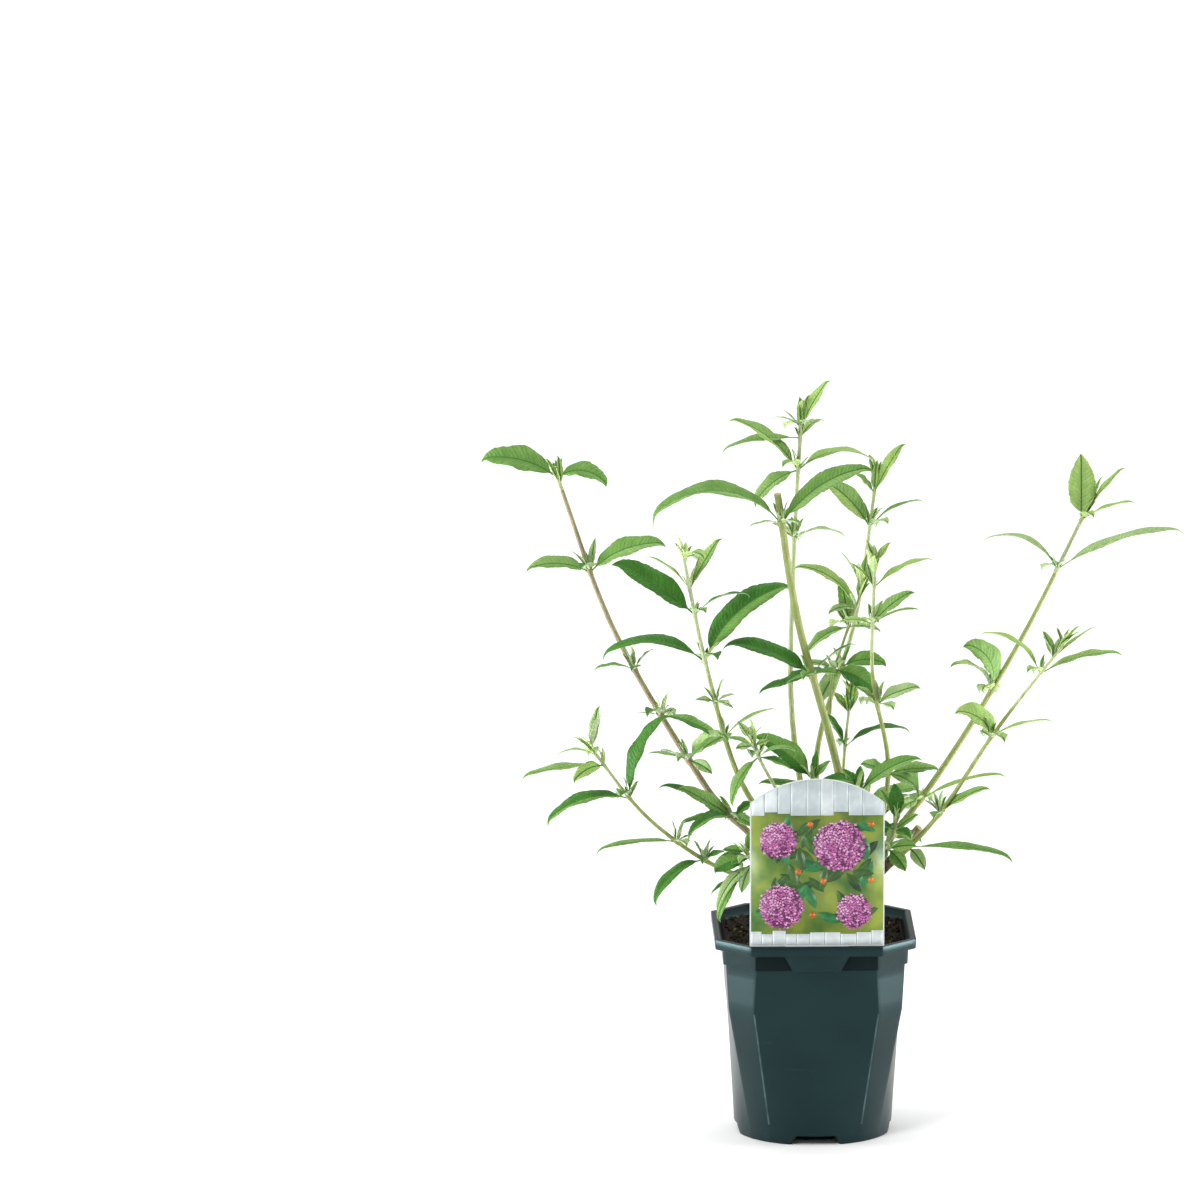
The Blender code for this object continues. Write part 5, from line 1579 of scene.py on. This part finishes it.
@dataclass
class Bush:
    """The stems, twigs and leaves, grown from the crown by the part's own rule.

    The known names are the CAD's nodes, of which the foliage stands for those that it finds.
    """

    crown: WoodyCrown
    blade: LeafBlade
    known: frozenset[str]
    sides: int = 12
    ring_every: float = 6.0
    ring_gap: float = 0.9
    joint_rings: tuple[float, ...] = (-4, -1.6, 0, 1.2, 4)
    lead: float = 4.0
    span_steps: int = 12
    sunk: float = 5.0
    gap: float = 0.3
    nub: float = 5.0
    swell: float = 0.30
    swell_reach: float = 2.6
    tip_taper: float = 0.5
    corners: float = 0.05
    bark_pace: float = 0.55
    rough_below: float = 300.0
    roughness: Pair = (0.12, 0.06)
    old_reach: float = 26.0
    sun: Place = (0.35, -0.25, 0.9)
    fresh_reach: float = 50.0
    young_reach: float = 30.0
    young_leaf: float = 60.0
    small_leaf: float = 46.0
    felted_share: float = 0.45
    right_painted_light: float = 0.7
    axil_leaf: Pair = (10.0, 23.0)
    axil_bare: float = 0.25
    axil_clear: float = 12.0
    seat: float = 0.6
    leaf_thick: float = 0.38
    tip_leaf: Pair = (19.0, 32.0)
    tip_drop: float = 9.0

    def __post_init__(self) -> None:
        """Starts the shared mesh of the stems and one mesh of leaves for each flank."""
        self.wood = bmesh.new()
        self.leafage = {flank: bmesh.new() for flank in Flank}
        self.stands_for: dict[Flank, list[str]] = {flank: [] for flank in Flank}

    def flank(self, name: str) -> Flank:
        """The flank that a stem belongs to."""
        return next(flank for flank, names in FLANKS.items() if name in names)

    def claim(self, name: str, node: str) -> None:
        """Notes that a stem's flank stands for a node, where the part has it."""
        if node in self.known:
            self.stands_for[self.flank(name)].append(node)

    def stem_path(self, stem: Stem, foot: Vector, first: Vector) -> list[Vector]:
        """The middle line of a stem from its foot to its tip."""
        return [foot, *curve_through([foot + first * self.lead, *map(Vector, stem.knots)], self.span_steps)]

    def stations(self, path: Line, joints: Iterable[float]) -> list[tuple[Vector, float]]:
        """Places along a path at even steps, and closer together about each joint.

        Args:
            path: The middle line.
            joints: The heights of the joints.

        Returns:
            Each place, with the part of the length below it.
        """
        lengths = [0.0]
        for low, high in zip(path, path[1:]):
            lengths.append(lengths[-1] + (high - low).length)
        wanted = [i * self.ring_every for i in range(int(lengths[-1] / self.ring_every) + 1)]
        for i, (low, high) in enumerate(zip(path, path[1:])):
            for joint in joints:
                if low.z <= joint < high.z:
                    middle = lengths[i] + (high - low).length * (joint - low.z) / (high.z - low.z)
                    wanted += [middle + shift for shift in self.joint_rings]
        wanted = sorted(w for w in wanted if 0 <= w < lengths[-1] - 1) + [lengths[-1]]
        kept, i = [], 0
        for at in wanted:
            if kept and at - kept[-1][2] < self.ring_gap and at != wanted[-1]:
                continue
            while i < len(path) - 2 and lengths[i + 1] < at:
                i += 1
            share = (at - lengths[i]) / max(lengths[i + 1] - lengths[i], 1e-6)
            kept.append((path[i].lerp(path[i + 1], share), at / lengths[-1], at))
        return [(place, part) for place, part, _ in kept]

    def tube(self, path: Line, girth: Pair, joints: Sequence[float],
             sunned: float, cut: bool = False, old: bool = True, felted: float = FELT_REACH) -> None:
        """Adds one stem with its swollen joints, ridged skin and the colours of its sides.

        Args:
            path: The middle line.
            girth: The radius at the foot and at the tip.
            joints: The heights of its joints.
            sunned: How far the purple-brown of the sunny side reaches round, from 0 to 1.
            cut: Whether it ends in a flat cut.
            old: Whether its foot has woody bark.
            felted: How far down from its tip the young felt reaches.
        """
        stations = self.stations(path, joints)
        rings, side = [], Vector((0, 1, 0))
        for i, (point, part) in enumerate(stations):
            ahead = (stations[min(i + 1, len(stations) - 1)][0] - stations[max(i - 1, 0)][0]).normalized()
            side = (side - ahead * side.dot(ahead)).normalized()
            other = ahead.cross(side)
            radius = girth[0] + (girth[1] - girth[0]) * part
            near = min((abs(point.z - joint) for joint in joints), default=math.inf)
            radius *= 1 + self.swell * math.exp(-(near / self.swell_reach) ** 2)
            if not cut and i == len(stations) - 1:
                radius *= self.tip_taper
            ring = []
            for k in range(self.sides):
                turn = math.tau * k / self.sides
                out = side * math.cos(turn) + other * math.sin(turn)
                rough = noise.noise((point + out * radius) * self.bark_pace)
                rough *= self.roughness[point.z >= self.rough_below]
                ring.append(point + out * radius * (1 + self.corners * math.cos(4 * turn) + rough))
            rings.append(ring)
        loops = loft(self.wood, rings)
        self.colour_stem(loops, stations, sunned, cut, old, felted)

    def colour_stem(self, loops: Loops, stations: list[tuple[Vector, float]],
                    sunned: float, cut: bool, old: bool, felted: float) -> None:
        """Deals the stem's skins to its faces.

        Args:
            loops: The rings of vertices.
            stations: The middle of each ring.
            sunned: How far the sunny side reaches round.
            cut: Whether the last face is a cut.
            old: Whether the foot has woody bark.
            felted: How far down from the tip the young felt reaches.
        """
        level = 1 - 2 * sunned
        deal = random.Random(len(stations))
        sun, foot, tip = Vector(self.sun), stations[0][0], stations[-1][0]
        for i, (low, high) in enumerate(zip(loops, loops[1:])):
            middle = stations[i][0]
            for k, vert in enumerate(low):
                face = next(f for f in vert.link_faces if low[k - 1] in f.verts and high[k] in f.verts)
                out = (face.calc_center_median() - middle).normalized()
                if old and (middle - foot).length < self.old_reach:
                    face.material_index = 0
                elif not cut and (tip - middle).length < felted * deal.uniform(0.8, 1.2):
                    face.material_index = 3
                else:
                    face.material_index = 1 if sunned and out.dot(sun) > level else 2
        if cut:
            cap = max({f for v in loops[-1] for f in v.link_faces}, key=lambda f: len(f.verts))
            cap.material_index = 4
            bmesh.ops.inset_region(self.wood, faces=[cap], thickness=0.5, depth=-0.3)

    def age(self, name: str, stem: Stem, height: float, length: float, deal: random.Random) -> Age:
        """How old a leaf is: a step off in one leaf of five, felted in some small ones, with painted light
        and shade.

        Args:
            name: Its stem's name.
            stem: Its stem.
            height: The height of its joint.
            length: Its length.
            deal: The dealer of ages.

        Returns:
            Its age.
        """
        below = stem.knots[-1][2] - height
        # The darkest green at these joints: partly the leaves' age, partly painted shade
        if height in AGED_AND_SHADED.get(name, ()):
            age = 0
        elif name in HALTED:
            age = 1
        elif below < self.young_reach and length < self.young_leaf:
            age = 3
        elif below < self.fresh_reach:
            age = 2
        else:
            age = 1
        if height in PALED.get(name, ()):
            return Age.PALE
        if age and length < self.small_leaf and deal.random() < self.felted_share:
            return Age.PALE
        # Painted light: leaves on the right flank are often a step paler and never a step darker
        right = name in FLANKS[Flank.RIGHT]
        painted_lighter = right and deal.random() < self.right_painted_light
        change = deal.choice((0, 0, 0, 0, 1, 1 if right else -1))
        return Age(max(0, min(1 if name in HALTED else 3, age + change + painted_lighter)))

    def leaf(self, name: str, leaf: Leaf, root: Vector, axis: Vector, radius: float, age: Age,
             deal: random.Random) -> None:
        """Adds a leaf whose stalk starts inside the stem's skin."""
        start = axis + direction(leaf.heading, leaf.rise) * radius * self.seat
        self.blade.grow(self.leafage[self.flank(name)], leaf, root, start, age, deal)

    def axils(self, name: str, leaves: Sequence[Leaf], axis: Vector, radius: float,
              deal: random.Random) -> None:
        """Adds the small pairs of leaves that sprout over the first two leaves of a joint.

        Args:
            name: The stem's name.
            leaves: The joint's leaves.
            axis: Where the joint is.
            radius: The stem's radius there.
            deal: The dealer of sizes and ways.
        """
        for main in leaves[:2]:
            for side in (-1, 1):
                if deal.random() < self.axil_bare:
                    continue
                small = Leaf(deal.uniform(*self.axil_leaf), main.heading + side * deal.uniform(15, 50),
                             deal.uniform(54, 80), 20, deal.uniform(0, 30), deal.uniform(0.15, 0.25))
                place = axis + direction(small.heading, 20) * radius * self.seat
                age = deal.choice((Age.FRESH, Age.YOUNG, Age.PALE, Age.PALE))
                self.blade.grow(self.leafage[self.flank(name)], small, place, place, age, deal)

    def tip(self, name: str, path: Line, deal: random.Random) -> None:
        """Adds the long leaflets that are still folded round a stem's tip.

        Args:
            name: The stem's name.
            path: Its middle line.
            deal: The dealer of sizes and ways.
        """
        root = at_height(path, path[-1].z - self.tip_drop)
        ahead = (path[-1] - path[-2]).normalized() if len(path) > 1 else Vector((0, 0, 1))
        for number in range(4):
            aside = direction(number * 90 + deal.uniform(-25, 25), 0) * deal.uniform(0.1, 0.28)
            way = (ahead + aside).normalized()
            small = Leaf(deal.uniform(*self.tip_leaf), math.degrees(math.atan2(way.y, way.x)),
                         math.degrees(math.asin(way.z)), 14, 20, 0.17)
            self.blade.grow(self.leafage[self.flank(name)], small, root, root, Age.YOUNG, deal)

    def sight_leaf(self, deal: random.Random, back: bool) -> Leaf:
        """A leaf to the front or the back whose slope follows the line of sight.

        Args:
            deal: The dealer of its size and way.
            back: Whether it points to the back.

        Returns:
            The leaf.
        """
        side = 1 if back else -1
        return Leaf(deal.uniform(*SIGHT_LEAF), side * 90 + deal.uniform(-SIGHT_SWING, SIGHT_SWING),
                    -side * SIGHT_SLOPE, deal.uniform(*SIGHT_DROOP), 0, SIGHT_WIDTH)

    def radius_at(self, stem: Stem, path: Line, height: float) -> float:
        """The stem's radius at a height."""
        part = (height - path[0].z) / (path[-1].z - path[0].z)
        return stem.girth[0] + (stem.girth[1] - stem.girth[0]) * max(0.0, min(part, 1.0))

    def shoot(self, name: str, stem: Stem, path: Line, start: float) -> None:
        """Adds the leaves past a stem's bare part.

        Args:
            name: The stem's name.
            stem: The stem.
            path: Its middle line.
            start: The height where the bare part ends.
        """
        self.claim(name, f"shoot_{name}")
        top = path[-1].z
        dress = random.Random(f"{name} dress")
        for height, leaves in stem.joints.items():
            if height <= start:
                continue
            axis = at_height(path, min(height, top - 1.5))
            radius = self.radius_at(stem, path, height)
            for leaf in leaves:
                age = self.age(name, stem, height, leaf.length, dress)
                self.leaf(name, leaf, axis, axis, radius, age, dress)
            if top - height > self.axil_clear:
                self.axils(name, leaves, axis, radius, dress)
        deal, last = random.Random(name), 0.0
        for height in sorted(stem.joints):
            if start < height + SIGHT_LIFT < top and height - last > SIGHT_SPACE:
                axis = at_height(path, height + SIGHT_LIFT)
                for back in (True, False):
                    leaf = self.sight_leaf(deal, back)
                    age = self.age(name, stem, height, leaf.length, dress)
                    self.leaf(name, leaf, axis, axis, self.radius_at(stem, path, height), age, dress)
                last = height
        self.tip(name, path, dress)

    def tufts(self, name: str, stem: Stem, path: Line, start: float) -> None:
        """Adds the leaves at the joints of a stem's bare part, before it and behind it.

        Args:
            name: The stem's name.
            stem: The stem.
            path: Its middle line.
            start: The height where the bare part ends.
        """
        for number, height in enumerate((h for h in stem.joints if h <= start), 1):
            deal, dress = random.Random(f"{name} {height}"), random.Random(f"{name} {height} dress")
            axis = at_height(path, height)
            ahead = (at_height(path, height + 4) - axis).normalized()
            radius = self.radius_at(stem, path, height)
            front = [self.sight_leaf(deal, False)] if height in FRONTED.get(name, ()) else []
            behind = [self.sight_leaf(deal, True) for _ in range(3)] if height in BACKED.get(name, ()) else []
            for leaves, way in (([*stem.joints[height], *front], -1), (behind, 1)):
                out = Vector((0, way, 0))
                out = (out - ahead * out.dot(ahead)).normalized()
                root = axis + out * (radius + self.gap + 0.1 + self.nub - 1.5)
                for leaf in leaves:
                    age = self.age(name, stem, height, leaf.length, dress)
                    self.leaf(name, leaf, root, axis, radius, age, dress)
            self.axils(name, stem.joints[height], axis, radius, dress)
            self.claim(name, f"leaves_{name}_{number}")
            self.claim(name, f"leaves_{name}_{number}_back")

    def limb(self, name: str, stem: Stem, foot: Vector, first: Vector, sunk: float) -> list[Vector]:
        """Adds one stem's wood from under the skin of what carries it.

        Args:
            name: The stem's name.
            stem: The stem.
            foot: Where it leaves what carries it.
            first: The way it sets out.
            sunk: How deep its foot starts.

        Returns:
            Its middle line, from its foot.
        """
        path = self.stem_path(stem, foot, first)
        cut = stem.bare_to == path[-1].z
        self.tube([foot - first * sunk, *path], stem.girth, [h for h in stem.joints if h < path[-1].z - 6],
                  SUNNED.get(name, 0.0), cut, name != "forked", FELTED.get(name, FELT_REACH))
        return path

    def basal(self, name: str, offset: Pair, length: float, count: int, seed: int) -> None:
        """Adds a short shoot from the crown whose leaves turn round it by a seeded rule.

        Args:
            name: The shoot's name.
            offset: Where it is rooted on the crown.
            length: Its length.
            count: How many leaves it has.
            seed: What deals them.
        """
        deal, dress = random.Random(seed), random.Random(f"{name} dress")
        root, out = self.crown.root(offset)
        turn, slope = math.degrees(math.atan2(out.y, out.x)), math.degrees(math.asin(out.z))
        end = root + direction(turn, slope + BASAL_LIFT) * length
        bend = root.lerp(end, BEND)
        self.tube([root - out * self.sunk, root, root + out * self.lead, bend, end], BASAL_GIRTH, [], 0.0,
                  old=False)
        for number in range(count):
            side = 1 if number % 2 else -1
            leaf = Leaf(deal.uniform(*BASAL_LEAF), turn + side * deal.uniform(*BASAL_FAN),
                        deal.uniform(*BASAL_RISE), deal.uniform(*BASAL_DROOP), deal.uniform(*BASAL_FACE),
                        deal.uniform(*BASAL_WIDTH))
            axis = bend.lerp(end, number / (count - 1) * 0.96)
            self.leaf(name, leaf, axis, axis, BASAL_GIRTH[1], dress.choice((Age.OLD, Age.FULL)), dress)
        self.tip(name, [end], dress)
        self.claim(name, f"basal_{name}")

    def build(self) -> None:
        """Every stem and every leaf, joined by kind and flank."""
        paths = {}
        for name, stem in STEMS.items():
            paths[name] = self.limb(name, stem, *self.crown.root(stem.foot), self.sunk)
            if stem.bare_to < paths[name][-1].z:
                self.shoot(name, stem, paths[name], stem.bare_to)
            self.tufts(name, stem, paths[name], stem.bare_to)
        carrier = at_height(paths[FORK_CARRIER], FORK_HEIGHT)
        radius = self.radius_at(STEMS[FORK_CARRIER], paths[FORK_CARRIER], FORK_HEIGHT)
        first = direction(*FORK_START)
        foot = carrier + first * (radius + self.gap + 0.2)
        self.shoot("forked", FORK, self.limb("forked", FORK, foot, first, radius), 0)
        foot, out = self.crown.root(STUB_FOOT)
        self.tube([foot - out * self.sunk, foot, foot + out * self.lead, foot.lerp(Vector(STUB_TIP), BEND),
                   Vector(STUB_TIP)], (STUB_RADIUS, STUB_RADIUS), [], 0.5, cut=True)
        for name, sizes in BASAL.items():
            self.basal(name, *sizes)
        limbs = sorted(node for node in self.known if node.startswith("stem_"))
        keep_piece("stem_wood", closed(self.wood),
                   [OLD_WOOD, SUNNED_SKIN, GREEN_SKIN, FELTED_SKIN, CUT_WOOD], limbs, 50)
        faces = [OLD_BLADE, FULL_BLADE, FRESH_BLADE, YOUNG_BLADE, PALE_BLADE, SUNK_RIB]
        felts = [OLD_FELT, FULL_FELT, FRESH_FELT, YOUNG_FELT, FRESH_FELT, PROUD_RIB]
        for flank, bm in self.leafage.items():
            bmesh.ops.remove_doubles(bm, verts=bm.verts, dist=0.004)
            piece = keep_piece(f"leaves_on_the_{flank.value}", bm, faces + felts,
                               self.stands_for[flank], 70)
            skin = piece.modifiers.new("blade", "SOLIDIFY")
            skin.thickness = self.leaf_thick * MM
            skin.offset = -1
            skin.material_offset = len(faces)
            skin.material_offset_rim = len(faces)


@dataclass
class Studio:
    """A pale board, soft lamps and a camera at the photograph's angle; sizes in metres."""

    board: float = 60.0
    distance: float = 14.0
    looks_down: float = 11.8
    turned: float = 1.5
    frame_width: float = 1.0084
    middle: Place = (-0.180, 0.0, 0.4567)
    film_width: float = 36.0
    sight: float = 200.0
    aim_height: float = 0.3
    overhead_size: float = 4.0
    room_light: float = 0.5
    lamps: tuple[tuple[str, Place, float, float], ...] = (
        ("key_lamp", (-1.9, -2.6, 2.8), 1.2, 68.0),
        ("left_lamp", (-1.7, -0.1, 0.2), 0.6, 36.0),
        ("right_lamp", (1.7, -0.1, 0.2), 0.6, 36.0),
        ("sky_lamp", (0.2, 3.2, 5.0), 8.0, 320.0),
    )

    def floor(self) -> None:
        """The board under everything."""
        bm = bmesh.new()
        bmesh.ops.create_grid(bm, x_segments=1, y_segments=1, size=self.board / 2)
        data = bpy.data.meshes.new("pale_board")
        bm.to_mesh(data)
        bm.free()
        data.materials.append(PALE_BOARD.material())
        board = bpy.data.objects.new("pale_board", data)
        bpy.context.scene.collection.objects.link(board)

    def lamp(self, name: str, place: Place, size: float, power: float) -> None:
        """One soft square lamp turned to the bush, or down where it is a large one.

        Args:
            name: The lamp's name.
            place: Where it hangs.
            size: The length of its sides.
            power: Its power in watts.
        """
        data = bpy.data.lights.new(name, "AREA")
        data.size = size
        data.energy = power
        lamp = bpy.data.objects.new(name, data)
        lamp.location = place
        beyond = place[1] if size > self.overhead_size else 0
        aim = Vector((0, beyond, self.aim_height)) - Vector(place)
        lamp.rotation_euler = aim.to_track_quat("-Z", "Y").to_euler()
        lamp.visible_camera = False
        bpy.context.scene.collection.objects.link(lamp)

    def camera(self) -> None:
        """The camera, far off with a long lens, with the pot low and to the right in its frame."""
        back = direction(-90 - self.turned, self.looks_down)
        data = bpy.data.cameras.new("camera")
        data.sensor_width = self.film_width
        data.lens = data.sensor_width * self.distance / self.frame_width
        data.clip_end = self.sight
        camera = bpy.data.objects.new("camera", data)
        camera.location = Vector(self.middle) + back * self.distance
        camera.rotation_euler = (-back).to_track_quat("-Z", "Y").to_euler()
        bpy.context.scene.collection.objects.link(camera)
        bpy.context.scene.camera = camera

    def build(self) -> None:
        """The board, the lamps, the room's light and the camera."""
        self.floor()
        for lamp in self.lamps:
            self.lamp(*lamp)
        world = bpy.data.worlds.new("white_room")
        world.use_nodes = True
        room = world.node_tree.nodes["Background"]
        room.inputs["Color"].default_value = linear("#ffffff")
        room.inputs["Strength"].default_value = self.room_light
        bpy.context.scene.world = world
        bpy.context.scene.view_settings.view_transform = "Standard"
        self.camera()


def main() -> None:
    """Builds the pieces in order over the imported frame."""
    logging.basicConfig(level=logging.INFO, format="%(message)s", stream=sys.stdout)
    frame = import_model()
    pot, crown = NurseryPot(), WoodyCrown()
    pot.build()
    Compost(pot).build()
    PlantLabel(pot).build()
    crown.build()
    Bush(crown, LeafBlade(), frozenset(frame["nodes"])).build()
    Studio().build()
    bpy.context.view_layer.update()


if __name__ == "__main__":
    main()
